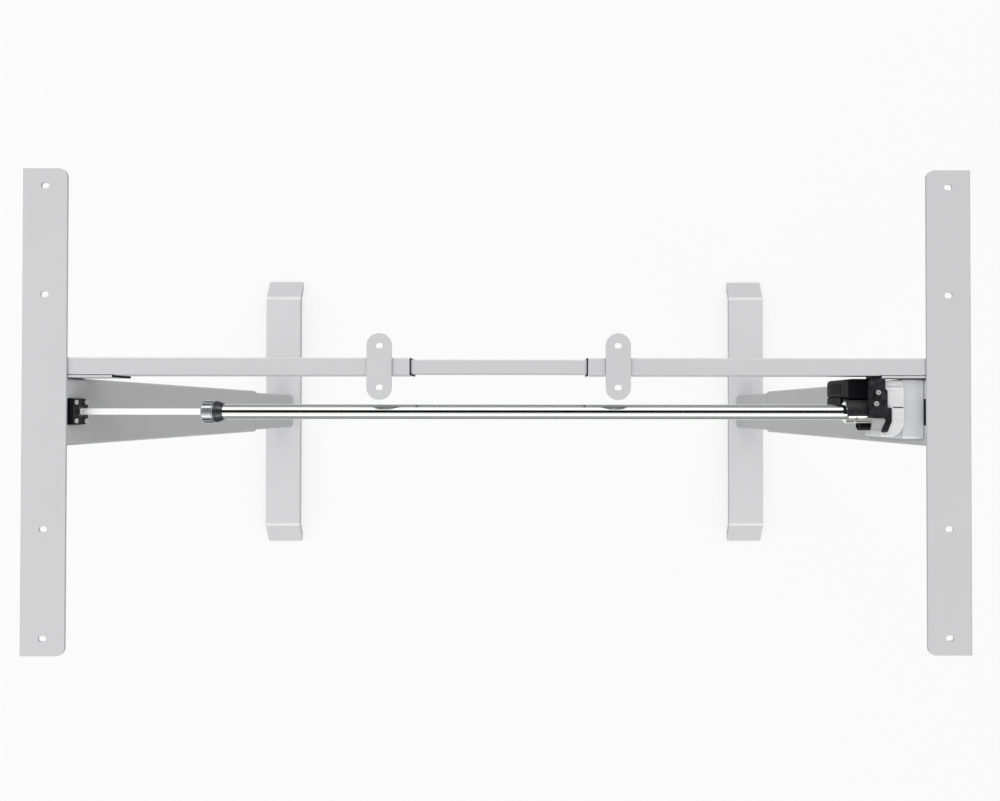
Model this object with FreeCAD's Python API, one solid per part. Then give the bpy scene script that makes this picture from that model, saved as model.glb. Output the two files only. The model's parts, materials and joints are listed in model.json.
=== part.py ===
import FreeCAD, Part
import math
import os

os.makedirs("parts", exist_ok=True)

# Single-motor, two-leg, height-adjustable desk frame.  Millimetres, +Z up.
# The origin is on the floor, midway between the legs and on the drive shaft's plane.
# +X runs along the crossbar to the motor leg, +Y points to the back of the desk.

# ---------------------------------------------------------------- overall sizes
FRAME_HEIGHT = 950.0        # floor to the top of the side brackets, as posed
LEG_SPACING = 1080.0        # between the two column centres
SHAFT_DROP = 24.0           # from the frame's top to the drive shaft's axis

# ---------------------------------------------------------------- side brackets
BRACKET_LENGTH = 581.0
BRACKET_WIDTH = 54.0
BRACKET_SHEET = 3.0
BRACKET_FLANGE = 24.0       # depth of the flange on the outer edge
BRACKET_CORNER = 10.0
BRACKET_SLOT_LENGTH = 10.0
BRACKET_SLOT_WIDTH = 7.0
OUTER_SLOT_SPACING = 540.0
INNER_SLOT_SPACING = 280.0

# ---------------------------------------------------------------- columns
OUTER_COLUMN_DEPTH = 82.0
OUTER_COLUMN_WIDTH = 50.0
OUTER_COLUMN_LENGTH = 659.5
INNER_COLUMN_LENGTH = 607.5
COLUMN_WALL = 1.8
COLUMN_CORNER = 5.0
GLIDE_SHEET = 1.4           # thickness of the plastic pads between the two tubes
SLIDE_CLEARANCE = 0.3       # between a plastic glide and the tube that runs on it
GLIDE_LENGTH = 60.0
GLIDE_MARGIN = 8.0          # from a glide pad's side to the tube's corner
GLIDE_DROP = 4.0            # from the inner tube's top to the pads
RING_HEIGHT = 40.0          # how far the guide ring reaches up the outer tube
RING_RIM = 2.0
NUT_HEIGHT = 34.0           # of the lift nut inside the inner tube
NUT_FLANGE = 6.0

# ---------------------------------------------------------------- feet
FOOT_LENGTH = 610.0
FOOT_FLAT = 528.0           # length of the level top between the two bends
FOOT_WIDTH = 80.0
FOOT_TOP = 30.0             # height of the foot's top above the floor
FOOT_SHEET = 2.5
FOOT_BEND = 10.0            # outer radius where the foot slopes down
FOOT_EDGE = 3.0             # outer radius between the foot's top and its flanges
FOOT_FLANGE = 12.0          # depth of the flanges, measured straight down
LEVELLER_SPACING = 480.0
LEVELLER_PAD_RADIUS = 16.0
LEVELLER_PAD_HEIGHT = 5.0
LEVELLER_STUD_RADIUS = 4.0
FLOOR_GAP = 5.5             # the foot's lower edge above the floor
LEVELLER_SLEEVE = 18.0      # how far the threaded sleeve reaches below the foot's top
LEVELLER_SLEEVE_WALL = 4.0
LEVELLER_COVER = 0.8        # sheet left above the stud's hole
LEVELLER_COLLAR_STEP = 2.5
LEVELLER_COLLAR_HEIGHT = 3.0
LEVELLER_PAD_ROUND = 1.2
FOOT_BOLT_RADIUS = 3.0
FOOT_BOLT_HEAD_RADIUS = 5.5
FOOT_BOLT_HEAD_HEIGHT = 3.5
FOOT_BOLT_SOCKET = 4.0      # across the flats
FOOT_BOLT_SPACING_X = 22.0
FOOT_BOLT_SPACING_Y = 50.0
PLUG_HEIGHT = 12.0

# ---------------------------------------------------------------- crossbar
BAR_DEPTH = 21.0
BAR_HEIGHT = 40.0
BAR_WALL = 1.5
BAR_CORNER = 2.5
SLIDER_CORNER = 2.0
BAR_INNER_END = 107.0       # from the crossbar's middle to each outer tube's inner end
BAR_SHIFT = 1.2             # of the crossbar's middle, to the right of the frame's
BAR_SETBACK = 0.1           # between the socket's upright and the crossbar tube
SLIDER_CLEARANCE = 0.5      # between the sliding bar and the tube round it
SLIDER_LENGTH = 500.0
COLLAR_THICKNESS = 1.4
COLLAR_CLEARANCE = 0.2
SOCKET_REACH = 54.0         # how far the socket stands out of the column's inner face
SOCKET_WALL = 2.6
SOCKET_CAP = 1.6
PLATE_WIDTH = 30.0
PLATE_LENGTH = 80.0
PLATE_SHEET = 3.0
PLATE_SLOT_LENGTH = 9.0
PLATE_SLOT_WIDTH = 6.5
PLATE_SLOT_SPACING = 50.0
PLATE_SETBACK = 36.0        # from a tube's inner end to its support plate's centre
LOCK_SCREW_PLACES = (30.0, 70.0)        # from the tube's inner end
SOCKET_SCREW_PLACES = (22.0, 46.0)      # from the column's inner face
LOCK_SCREW_RADIUS = 3.0
LOCK_SCREW_HEAD_RADIUS = 5.2
LOCK_SCREW_HEAD_HEIGHT = 4.0
LOCK_SCREW_REACH = 6.0      # of a socket screw's shank above the tube's lower face

# ---------------------------------------------------------------- drive line
ROD_FLATS = 8.0             # across the flats of the telescoping hexagon rod
ROD_LENGTH = 516.0
JOURNAL_RADIUS = 4.6
TUBE_RADIUS = 9.2
TUBE_WALL = 1.5
ROD_SHOWING = 170.0         # from the left column's face to the tube's left end
TUBE_IN_HUB = 14.0          # how far the tube goes into its hub
COLLET_WALL = 1.6           # the sleeve's wall round the tube, and its end collars' step
CLAMP_NUT_WALL = 2.9
CLAMP_NUT_LENGTH = 14.4
CLAMP_NUT_RIBS = 14
RIB_HEIGHT = 0.9
RIB_WIDTH = 5.0
RIB_MARGIN = 1.6            # from a rib's end to the nut's face
HUB_WALL = 4.3
HUB_LENGTH = 37.0
HUB_GROOVE_START = 9.0      # from the hub's left end
HUB_GROOVE_WIDTH = 3.0
HUB_GROOVE_DEPTH = 2.0
SCREW_RADIUS = 6.0
SCREW_LENGTH = 540.0
RUNNING_CLEARANCE = 0.05    # radial, shaft in bore
SEAT_CLEARANCE = 0.3        # between pieces that are only held near each other
BEVEL_RADIUS = 11.0
BEVEL_LENGTH = 7.0
BEVEL_TEETH = 14
BEVEL_BACK = 5.0            # the gear's hub behind its teeth
BEVEL_GAP = 0.6
WHEEL_RADIUS = 15.0
WHEEL_WIDTH = 9.0
WHEEL_TEETH = 28
WORM_RADIUS = 6.0
WORM_PITCH = 3.3
WORM_GROOVE = 1.4
WORM_DEPTH = 1.6

# ---------------------------------------------------------------- bevel gearboxes
GEARBOX_DEPTH = 48.0        # along Y, inside the column
GEARBOX_LOW = 64.0          # from the frame's top to the housing's lower face
GEARBOX_TOP_GAP = 2.0       # below the side bracket
BOSS_REACH = 3.0            # how far the boss stands out of the column's face
COVER_SHEET = 3.0
COVER_SCREW_RADIUS = 1.6
COVER_SCREW_LENGTH = 9.0
SCREW_HEAD_RADIUS = 2.9
SCREW_HEAD_HEIGHT = 1.8
SCREW_SOCKET_DEPTH = 1.0
COVER_SCREW_Y = 11.2
COVER_SCREW_Z = (5.0, 26.0)  # below the boss's top
GEAR_ROOM = 11.6
BEARING_RADIUS = 13.0
BEARING_HEIGHT = 9.0
BEARING_TOP = 45.0          # from the frame's top to the bearing's upper face
WINDOW_DEPTH = 31.4         # along Y, the window in the outer tube's inner face
WINDOW_CLEARANCE = 0.3
BOSS_CORNER = 8.0
JOURNAL_BOSS_RADIUS = 6.5
JOURNAL_BOSS_HEIGHT = 0.8
GEAR_SHOULDER = 1.4         # from a bevel gear's face to the end of its shaft
SCREW_COLLAR_STEP = 1.6
SCREW_COLLAR_HEIGHT = 3.0
SCREW_NECK_STEP = 2.0

# ---------------------------------------------------------------- motor unit
MOUNT_DEPTH = 25.5
MOUNT_FRONT = -32.5
CASE_LENGTH = 28.0
CASE_HALF = 30.0
CASE_WALL = 2.6
CASE_LOBE = 18.0            # round on the case's front outer corner
CASE_CORNER = 3.0
CASE_ROUND = 2.0
PARTING_Y = 5.0
PARTING_WIDTH = 1.4
PARTING_DEPTH = 1.6
LUG_Y = 38.5                # how far the case's rear lug reaches back
LUG_DROP = 3.0              # from the case's top to the lug's
LUG_HEIGHT = 33.0
LUG_INSET = 4.0             # from the case's inner face
OUTPUT_RADIUS = 7.5
MOTOR_RADIUS = 13.9
MOTOR_HEIGHT = 90.0
MOTOR_ROUND = 3.0
MOTOR_FLANGE = 4.0
COVER_WALL = 1.8
COVER_CORNER = 5.0
COVER_SHELF_Y = 8.2         # front of the cover's shelf under the hub
HOOD_OVERHANG = 2.0         # of the hood past the hub's left end
HOOD_FRONT = -5.0
GUARD_WALL = 1.6
LID_SHEET = 3.0
LID_POST_RADIUS = 3.6
LID_POST_X = -6.0           # from the case's inner face
LID_SCREWS = ((-5.0, 23.7), (-7.4, 10.2))               # from the case's inner face
CLIP_SHEET = 0.9
CLIP_OUTLINE = ((-9.9, -7.4), (4.0, -7.4), (4.8, -11.0), (-1.1, -23.0), (-12.7, -23.0))
CONNECTOR_Y = -16.8
CONNECTOR_RADIUS = 6.0
CONNECTOR_LENGTH = 15.0
CONNECTOR_ROUND = 2.5
CONNECTOR_WALL = 2.8
CONNECTOR_RECESS = 9.0

# ---------------------------------------------------------------- worked out
TOP = FRAME_HEIGHT
HALF = LEG_SPACING / 2
SHAFT_Z = TOP - SHAFT_DROP
UNDER_TOP = TOP - BRACKET_SHEET
COLUMN_FACE = HALF - OUTER_COLUMN_WIDTH / 2
COLUMN_BACK = OUTER_COLUMN_DEPTH / 2
INNER_COLUMN_WIDTH = OUTER_COLUMN_WIDTH - 2 * (COLUMN_WALL + GLIDE_SHEET + SLIDE_CLEARANCE)
INNER_COLUMN_DEPTH = OUTER_COLUMN_DEPTH - 2 * (COLUMN_WALL + GLIDE_SHEET + SLIDE_CLEARANCE)
BRACKET_INNER = HALF + OUTER_COLUMN_WIDTH / 2 + BRACKET_SHEET - BRACKET_WIDTH
INNER_COLUMN_TOP = FOOT_TOP + INNER_COLUMN_LENGTH
BAR_FRONT = COLUMN_BACK + SOCKET_WALL + BAR_SETBACK
BAR_BACK_SHIFT = BAR_FRONT + BAR_DEPTH / 2
SLIDER_DEPTH = BAR_DEPTH - 2 * BAR_WALL - 2 * SLIDER_CLEARANCE
SLIDER_HEIGHT = BAR_HEIGHT - 2 * BAR_WALL - 2 * SLIDER_CLEARANCE
TUBE_LEFT_END = ROD_SHOWING - COLUMN_FACE
CLAMP_NUT_RADIUS = TUBE_RADIUS + COLLET_WALL + SEAT_CLEARANCE + CLAMP_NUT_WALL
HUB_RADIUS = TUBE_RADIUS + HUB_WALL
BAR_OUTER_END = HALF + OUTER_COLUMN_WIDTH / 2 - 2
BAR_MIDDLE_Z = UNDER_TOP - BAR_HEIGHT / 2
WINDOW_TOP = TOP - 7.0
WINDOW_LOW = TOP - 39.0
GEAR_END = HALF - BEVEL_RADIUS + BEVEL_LENGTH - BEVEL_GAP - GEAR_SHOULDER
COVER_FRONT = -(COLUMN_FACE - BOSS_REACH) + COVER_SHEET + JOURNAL_BOSS_HEIGHT
SLEEVE_RIGHT = TUBE_LEFT_END + 10.4
NUT_LEFT = TUBE_LEFT_END - 14.0
NUT_RIGHT = NUT_LEFT + CLAMP_NUT_LENGTH
CASE_OUTER = COLUMN_FACE - MOUNT_DEPTH
CASE_INNER = CASE_OUTER - CASE_LENGTH
CASE_TOP = TOP - 6.0
CASE_LOW = TOP - 54.0
HUB_RIGHT = CASE_INNER - 0.5
HUB_LEFT = HUB_RIGHT - HUB_LENGTH
TUBE_RIGHT_END = HUB_LEFT + TUBE_IN_HUB
WHEEL_X = (CASE_INNER + CASE_OUTER) / 2
WORM_Y = WHEEL_RADIUS + WORM_RADIUS + SEAT_CLEARANCE
MOUNT_TOP = TOP - 10.0
MOUNT_LOW = TOP - 58.0
MOUNT_BACK = COLUMN_BACK - 1.0
COVER_INNER = HUB_LEFT + 1.0
COVER_TOP = TOP - 15.0
COVER_LOW = TOP - 85.0
GUARD_RADIUS = HUB_RADIUS + 0.8 + GUARD_WALL
COVER_Y0 = GUARD_RADIUS + 1.1
COVER_Y1 = COLUMN_BACK - 0.5
LID_TOP = TOP - 3.0
LID_OUTLINE = ((-16.5, -7), (-16.5, COVER_Y1 - 4.5), (-12.5, COVER_Y1 - 0.5), (3.8, COVER_Y1 - 0.5),
               (3.8, 28.5), (6.5, 25.5), (6.5, 5), (11.5, 5), (11.5, -11), (6.1, -24), (-0.6, -24),
               (5.4, -11), (4.5, -7))
CONNECTOR_Z = TOP - 42.0
SIDES = {"left": -1, "right": 1}


def vec(x, y, z):
    return FreeCAD.Vector(x, y, z)


def block(x0, x1, y0, y1, z0, z1):
    """A box between two corners, given in any order."""
    low = vec(min(x0, x1), min(y0, y1), min(z0, z1))
    return Part.makeBox(abs(x1 - x0), abs(y1 - y0), abs(z1 - z0), low)


def bar_x(radius, x0, x1, y, z):
    return Part.makeCylinder(radius, abs(x1 - x0), vec(min(x0, x1), y, z), vec(1, 0, 0))


def bar_z(radius, z0, z1, x, y):
    return Part.makeCylinder(radius, abs(z1 - z0), vec(x, y, min(z0, z1)), vec(0, 0, 1))


def edges_along(shape, axis, where=None):
    """The straight edges that run along axis 0, 1 or 2, that also pass the test where."""
    picked = []
    for edge in shape.Edges:
        if not isinstance(edge.Curve, Part.Line):
            continue
        run = edge.tangentAt(edge.FirstParameter)
        if abs(abs(run[axis]) - 1) > 1e-6:
            continue
        if where is None or where(edge.CenterOfMass):
            picked.append(edge)
    return picked


def rounded(shape, radius, axis, where=None):
    return shape.makeFillet(radius, edges_along(shape, axis, where))


def box_tube(axis, start, end, centre, size, wall, corner):
    """A rectangular tube along axis, with its outer and inner corners rounded."""
    def solid(shrink, run0, run1, radius):
        lows = [0, 0, 0]
        highs = [0, 0, 0]
        others = [i for i in range(3) if i != axis]
        lows[axis], highs[axis] = run0, run1
        for other, middle, span in zip(others, centre, size):
            lows[other] = middle - span / 2 + shrink
            highs[other] = middle + span / 2 - shrink
        body = block(lows[0], highs[0], lows[1], highs[1], lows[2], highs[2])
        return rounded(body, radius, axis)
    outer = solid(0, start, end, corner)
    inner = solid(wall, start - 1, end + 1, max(corner - wall, 0.4))
    return outer.cut(inner)


def slot_x(length, width, x, y, z0, z1):
    """A slot cutter whose long axis is X."""
    reach = length / 2 - width / 2
    cutter = block(x - reach, x + reach, y - width / 2, y + width / 2, z0, z1)
    for end in (x - reach, x + reach):
        cutter = cutter.fuse(bar_z(width / 2, z0, z1, end, y))
    return cutter.removeSplitter()


def hexagon_x(flats, x0, x1, y, z):
    """A hexagon bar along X, with two corners at top and bottom."""
    reach = flats / math.sqrt(3)
    points = []
    for step in range(7):
        angle = math.radians(90 + 60 * step)
        points.append(vec(x0, y + reach * math.cos(angle), z + reach * math.sin(angle)))
    face = Part.Face(Part.makePolygon(points))
    return face.extrude(vec(x1 - x0, 0, 0))


def outline_plate(points, z0, z1):
    """A flat plate with a straight-sided outline."""
    corners = [vec(x, y, z0) for x, y in points]
    face = Part.Face(Part.makePolygon(corners + corners[:1]))
    return face.extrude(vec(0, 0, z1 - z0))


def turned_x(profile, y, z):
    """A solid turned about an axis along X, from a list of x, radius corners."""
    corners = [vec(x, y, z + radius) for x, radius in profile]
    face = Part.Face(Part.makePolygon(corners + corners[:1]))
    return face.revolve(vec(0, y, z), vec(1, 0, 0), 360)


def turned_z(profile, x, y):
    """A solid turned about an axis along Z, from a list of z, radius corners."""
    corners = [vec(x + radius, y, z) for z, radius in profile]
    face = Part.Face(Part.makePolygon(corners + corners[:1]))
    return face.revolve(vec(x, y, 0), vec(0, 0, 1), 360)


def write(node, *solids):
    """One STEP file for a node, as one solid or a group of separate solids."""
    shape = solids[0] if len(solids) == 1 else Part.makeCompound(list(solids))
    shape.exportStep("parts/" + node + ".step")


# ---------------------------------------------------------------- feet and levellers
def foot_form(inset):
    """The foot as a filled form; inset moves every wall inward for the hollow below."""
    flat = FOOT_FLAT / 2
    end = FOOT_LENGTH / 2
    rise = FOOT_TOP - FLOOR_GAP
    run = end - flat
    slope = math.hypot(rise, run)
    top = FOOT_TOP - inset
    shift = inset * slope / rise
    bend = flat - shift + inset * run / rise
    low = FLOOR_GAP - (1 if inset else 0)
    reach = end - shift + (run / rise if inset else 0)
    half = FOOT_WIDTH / 2 - inset
    points = [(-reach, low), (-bend, top), (bend, top), (reach, low)]
    corners = [vec(-half, y, z) for y, z in points]
    form = Part.Face(Part.makePolygon(corners + corners[:1])).extrude(vec(2 * half, 0, 0))
    form = rounded(form, FOOT_BEND - inset, 0, lambda c: c.z > (FOOT_TOP + FLOOR_GAP) / 2)
    edges = []
    for edge in form.Edges:
        middle = edge.CenterOfMass
        ends_high = max(vertex.Z for vertex in edge.Vertexes) > low + 1
        if abs(abs(middle.x) - half) < 0.01 and ends_high and abs(middle.z - low) > 0.1:
            edges.append(edge)
    return form.makeFillet(FOOT_EDGE - inset, edges)


def below_flanges():
    """What is cut away under the foot's flanges, which follow its top at one depth."""
    flat = FOOT_FLAT / 2
    end = FOOT_LENGTH / 2
    fall = (FOOT_TOP - FLOOR_GAP) / (end - flat)
    margin = 40
    top = FOOT_TOP - FOOT_FLANGE
    tip = top - (end + margin - flat) * fall
    points = [(-end - margin, tip), (-flat, top), (flat, top), (end + margin, tip),
              (end + margin, -2 * margin), (-end - margin, -2 * margin)]
    corners = [vec(-FOOT_WIDTH, y, z) for y, z in points]
    return Part.Face(Part.makePolygon(corners + corners[:1])).extrude(vec(2 * FOOT_WIDTH, 0, 0))


def foot(side):
    """A channel foot with sloping ends, open below, with its bolt and leveller holes."""
    body = foot_form(0).cut(foot_form(FOOT_SHEET)).cut(below_flanges())
    for x, y in foot_bolt_places():
        body = body.cut(bar_z(FOOT_BOLT_RADIUS + SEAT_CLEARANCE, 0, FOOT_TOP + 1, x, y))
    for sign in (-1, 1):
        y = sign * LEVELLER_SPACING / 2
        bore = LEVELLER_STUD_RADIUS + RUNNING_CLEARANCE
        sleeve = bar_z(LEVELLER_STUD_RADIUS + LEVELLER_SLEEVE_WALL, FOOT_TOP - LEVELLER_SLEEVE,
                       FOOT_TOP - FOOT_SHEET / 2, 0, y)
        body = body.fuse(sleeve).removeSplitter()
        body = body.cut(bar_z(bore, 0, FOOT_TOP - LEVELLER_COVER, 0, y))
    return body.translated(vec(side * HALF, 0, 0))


def foot_bolt_places():
    """The four bolt centres, measured from the column's centre."""
    places = []
    for sx in (-1, 1):
        for sy in (-1, 1):
            places.append((sx * FOOT_BOLT_SPACING_X / 2, sy * FOOT_BOLT_SPACING_Y / 2))
    return places


def foot_bolts(side):
    """Bolts put in from below the foot and screwed into the column's plug."""
    seat = FOOT_TOP - FOOT_SHEET
    bolts = []
    for x, y in foot_bolt_places():
        shank = bar_z(FOOT_BOLT_RADIUS, seat, FOOT_TOP + PLUG_HEIGHT - 1, x, y)
        head = bar_z(FOOT_BOLT_HEAD_RADIUS, seat - FOOT_BOLT_HEAD_HEIGHT, seat, x, y)
        socket = hexagon_x(FOOT_BOLT_SOCKET, 0, 2, 0, 0)
        socket.rotate(vec(0, 0, 0), vec(0, 1, 0), -90)
        head = head.cut(socket.translated(vec(x, y, seat - FOOT_BOLT_HEAD_HEIGHT - 0.1)))
        bolts.append(shank.fuse(head).removeSplitter().translated(vec(side * HALF, 0, 0)))
    return bolts


def column_plug(side):
    """The block welded in the inner column's lower end, threaded for the foot bolts."""
    x = side * HALF
    half_x = INNER_COLUMN_WIDTH / 2 - COLUMN_WALL
    half_y = INNER_COLUMN_DEPTH / 2 - COLUMN_WALL
    body = block(x - half_x, x + half_x, -half_y, half_y, FOOT_TOP, FOOT_TOP + PLUG_HEIGHT)
    body = rounded(body, COLUMN_CORNER - COLUMN_WALL, 2)
    for bolt_x, bolt_y in foot_bolt_places():
        bore = FOOT_BOLT_RADIUS + RUNNING_CLEARANCE
        body = body.cut(bar_z(bore, 0, FOOT_TOP + PLUG_HEIGHT + 1, x + bolt_x, bolt_y))
    return body


def leveller(side, y):
    """A threaded levelling foot with a round pad on the floor."""
    x = side * HALF
    pad = bar_z(LEVELLER_PAD_RADIUS, 0, LEVELLER_PAD_HEIGHT, x, y)
    rims = [e for e in pad.Edges if isinstance(e.Curve, Part.Circle)]
    pad = pad.makeFillet(LEVELLER_PAD_ROUND, rims)
    stud_top = FOOT_TOP - FOOT_SHEET - 2 * SEAT_CLEARANCE
    stud = bar_z(LEVELLER_STUD_RADIUS, LEVELLER_PAD_HEIGHT - 1, stud_top, x, y)
    collar = bar_z(LEVELLER_STUD_RADIUS + LEVELLER_COLLAR_STEP, LEVELLER_PAD_HEIGHT - 1,
                   LEVELLER_PAD_HEIGHT + LEVELLER_COLLAR_HEIGHT, x, y)
    return pad.fuse([stud, collar]).removeSplitter()


# ---------------------------------------------------------------- lifting columns
def inner_column(side):
    centre = (side * HALF, 0)
    size = (INNER_COLUMN_WIDTH, INNER_COLUMN_DEPTH)
    return box_tube(2, FOOT_TOP, INNER_COLUMN_TOP, centre, size, COLUMN_WALL, COLUMN_CORNER)


def lift_nut(side):
    """The plastic nut that closes the inner column's top and rides on the lead screw."""
    x = side * HALF
    half_x = INNER_COLUMN_WIDTH / 2 - COLUMN_WALL
    half_y = INNER_COLUMN_DEPTH / 2 - COLUMN_WALL
    low = INNER_COLUMN_TOP - NUT_HEIGHT
    body = block(x - half_x, x + half_x, -half_y, half_y, low, INNER_COLUMN_TOP)
    body = rounded(body, COLUMN_CORNER - COLUMN_WALL, 2)
    flange = block(x - half_x - COLUMN_WALL, x + half_x + COLUMN_WALL, -half_y - COLUMN_WALL,
                   half_y + COLUMN_WALL, INNER_COLUMN_TOP, INNER_COLUMN_TOP + NUT_FLANGE)
    flange = rounded(flange, COLUMN_CORNER, 2)
    body = body.fuse(flange).removeSplitter()
    bore = SCREW_RADIUS + RUNNING_CLEARANCE
    return body.cut(bar_z(bore, low - 1, INNER_COLUMN_TOP + NUT_FLANGE + 1, x, 0))


def glide_pads(side):
    """Two pairs of plastic pads on the inner column's top, one pair for each direction."""
    x = side * HALF
    top = INNER_COLUMN_TOP - GLIDE_DROP
    low = top - GLIDE_LENGTH
    half_x = INNER_COLUMN_WIDTH / 2
    half_y = INNER_COLUMN_DEPTH / 2
    pads = []
    for sign in (-1, 1):
        face = x + sign * half_x
        pads.append(block(face, face + sign * GLIDE_SHEET, -half_y + GLIDE_MARGIN, half_y - GLIDE_MARGIN,
                          low, top))
        face = sign * half_y
        pads.append(block(x - half_x + GLIDE_MARGIN, x + half_x - GLIDE_MARGIN, face,
                          face + sign * GLIDE_SHEET, low, top))
    return pads


def outer_column(side):
    """The lifting tube, with the window for the gearbox in its inner face."""
    centre = (side * HALF, 0)
    size = (OUTER_COLUMN_WIDTH, OUTER_COLUMN_DEPTH)
    low = UNDER_TOP - OUTER_COLUMN_LENGTH
    body = box_tube(2, low, UNDER_TOP, centre, size, COLUMN_WALL, COLUMN_CORNER)
    reach = WINDOW_DEPTH / 2 + WINDOW_CLEARANCE
    window = block(side * (COLUMN_FACE - 1), side * (COLUMN_FACE + COLUMN_WALL + 2), -reach, reach,
                   WINDOW_LOW - WINDOW_CLEARANCE, UNDER_TOP + 1)
    return body.cut(window)


def column_ring(side):
    """The plastic guide in the outer column's lower end, a close fit on the inner column."""
    low = UNDER_TOP - OUTER_COLUMN_LENGTH
    x = side * HALF
    size_x = OUTER_COLUMN_WIDTH - 2 * COLUMN_WALL
    size_y = OUTER_COLUMN_DEPTH - 2 * COLUMN_WALL
    inner_x = INNER_COLUMN_WIDTH + 2 * SLIDE_CLEARANCE
    inner_y = INNER_COLUMN_DEPTH + 2 * SLIDE_CLEARANCE
    sleeve = block(x - size_x / 2, x + size_x / 2, -size_y / 2, size_y / 2, low, low + RING_HEIGHT)
    sleeve = rounded(sleeve, COLUMN_CORNER - COLUMN_WALL, 2)
    rim = block(x - OUTER_COLUMN_WIDTH / 2, x + OUTER_COLUMN_WIDTH / 2, -OUTER_COLUMN_DEPTH / 2,
                OUTER_COLUMN_DEPTH / 2, low - RING_RIM, low)
    rim = rounded(rim, COLUMN_CORNER, 2)
    hole = block(x - inner_x / 2, x + inner_x / 2, -inner_y / 2, inner_y / 2, low - RING_RIM - 1,
                 low + RING_HEIGHT + 1)
    hole = rounded(hole, COLUMN_CORNER + SLIDE_CLEARANCE, 2)
    return sleeve.fuse(rim).removeSplitter().cut(hole)


# ---------------------------------------------------------------- side brackets
def bracket_slots():
    """The slot centres along one bracket."""
    spots = []
    for spacing in (OUTER_SLOT_SPACING, INNER_SLOT_SPACING):
        for sign in (-1, 1):
            spots.append(sign * spacing / 2)
    return spots


def side_bracket(side):
    """An angle with a slotted top and a flange down its outer edge."""
    outer = BRACKET_INNER + BRACKET_WIDTH
    half = BRACKET_LENGTH / 2
    body = block(side * BRACKET_INNER, side * outer, -half, half, UNDER_TOP - BRACKET_FLANGE, TOP)
    body = rounded(body, BRACKET_SHEET, 1, lambda c: abs(c.x) > HALF and c.z > UNDER_TOP)
    inside = block(side * (BRACKET_INNER - 1), side * (outer - BRACKET_SHEET), -half - 1, half + 1,
                   UNDER_TOP - BRACKET_FLANGE - 1, UNDER_TOP)
    body = body.cut(inside)
    body = rounded(body, BRACKET_CORNER, 2, lambda c: abs(c.x) < HALF)
    for y in bracket_slots():
        cutter = slot_x(BRACKET_SLOT_LENGTH, BRACKET_SLOT_WIDTH, side * (HALF + 0.5), y,
                        UNDER_TOP - 1, TOP + 1)
        body = body.cut(cutter)
    return body


# ---------------------------------------------------------------- crossbar
def crossbar_tube(side):
    """An outer tube of the crossbar, with holes below for its lock and socket screws."""
    inner = BAR_SHIFT + side * BAR_INNER_END
    start = min(inner, side * BAR_OUTER_END)
    stop = max(inner, side * BAR_OUTER_END)
    centre = (BAR_BACK_SHIFT, BAR_MIDDLE_Z)
    body = box_tube(0, start, stop, centre, (BAR_DEPTH, BAR_HEIGHT), BAR_WALL, BAR_CORNER)
    holes = [inner + side * place for place in LOCK_SCREW_PLACES]
    holes += [side * (COLUMN_FACE - place) for place in SOCKET_SCREW_PLACES]
    for x in holes:
        low = UNDER_TOP - BAR_HEIGHT - 1
        cutter = bar_z(LOCK_SCREW_RADIUS + RUNNING_CLEARANCE, low, low + 2 * BAR_WALL + 1, x, BAR_BACK_SHIFT)
        body = body.cut(cutter)
    return body


def crossbar_collar(side):
    """The plastic end ring that the sliding bar passes through."""
    start = BAR_SHIFT + min(side * BAR_INNER_END, side * (BAR_INNER_END - COLLAR_THICKNESS))
    centre = (BAR_BACK_SHIFT, BAR_MIDDLE_Z)
    hole = BAR_DEPTH - SLIDER_DEPTH - 2 * COLLAR_CLEARANCE
    return box_tube(0, start, start + COLLAR_THICKNESS, centre, (BAR_DEPTH, BAR_HEIGHT), hole / 2,
                    BAR_CORNER)


def crossbar_slider():
    """The bar that slides in both outer tubes and sets the frame's width."""
    half = SLIDER_LENGTH / 2
    centre = (BAR_BACK_SHIFT, BAR_MIDDLE_Z)
    section = (SLIDER_DEPTH, SLIDER_HEIGHT)
    return box_tube(0, BAR_SHIFT - half, BAR_SHIFT + half, centre, section, BAR_WALL, SLIDER_CORNER)


def crossbar_screws(side):
    """Screws put in from below: two clamp the sliding bar, two hold the tube on its socket."""
    low = UNDER_TOP - BAR_HEIGHT
    lock_tip = low + (BAR_HEIGHT - SLIDER_HEIGHT) / 2 - SEAT_CLEARANCE
    inner = BAR_INNER_END + side * BAR_SHIFT
    spots = [(inner + place, low, lock_tip) for place in LOCK_SCREW_PLACES]
    spots += [(COLUMN_FACE - place, low - SOCKET_WALL, low + LOCK_SCREW_REACH)
              for place in SOCKET_SCREW_PLACES]
    screws = []
    for x, seat, tip in spots:
        shank = bar_z(LOCK_SCREW_RADIUS, seat, tip, side * x, BAR_BACK_SHIFT)
        head = bar_z(LOCK_SCREW_HEAD_RADIUS, seat - LOCK_SCREW_HEAD_HEIGHT, seat, side * x, BAR_BACK_SHIFT)
        screws.append(shank.fuse(head).removeSplitter())
    return screws


def socket(side):
    """The angle welded to the column's back face that carries the crossbar tube."""
    inner = side * (COLUMN_FACE - SOCKET_REACH)
    outer = side * (HALF + OUTER_COLUMN_WIDTH / 2 - COLUMN_CORNER)
    front = COLUMN_BACK
    low = UNDER_TOP - BAR_HEIGHT
    upright = block(inner, outer, front, front + SOCKET_WALL, low - SOCKET_WALL, UNDER_TOP)
    ledge = block(inner, outer, front, BAR_FRONT + BAR_DEPTH, low - SOCKET_WALL, low)
    body = upright.fuse(ledge).removeSplitter()
    for place in SOCKET_SCREW_PLACES:
        x = side * (COLUMN_FACE - place)
        radius = LOCK_SCREW_RADIUS + RUNNING_CLEARANCE
        body = body.cut(bar_z(radius, low - SOCKET_WALL - 1, low + 1, x, BAR_BACK_SHIFT))
    return body


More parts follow.
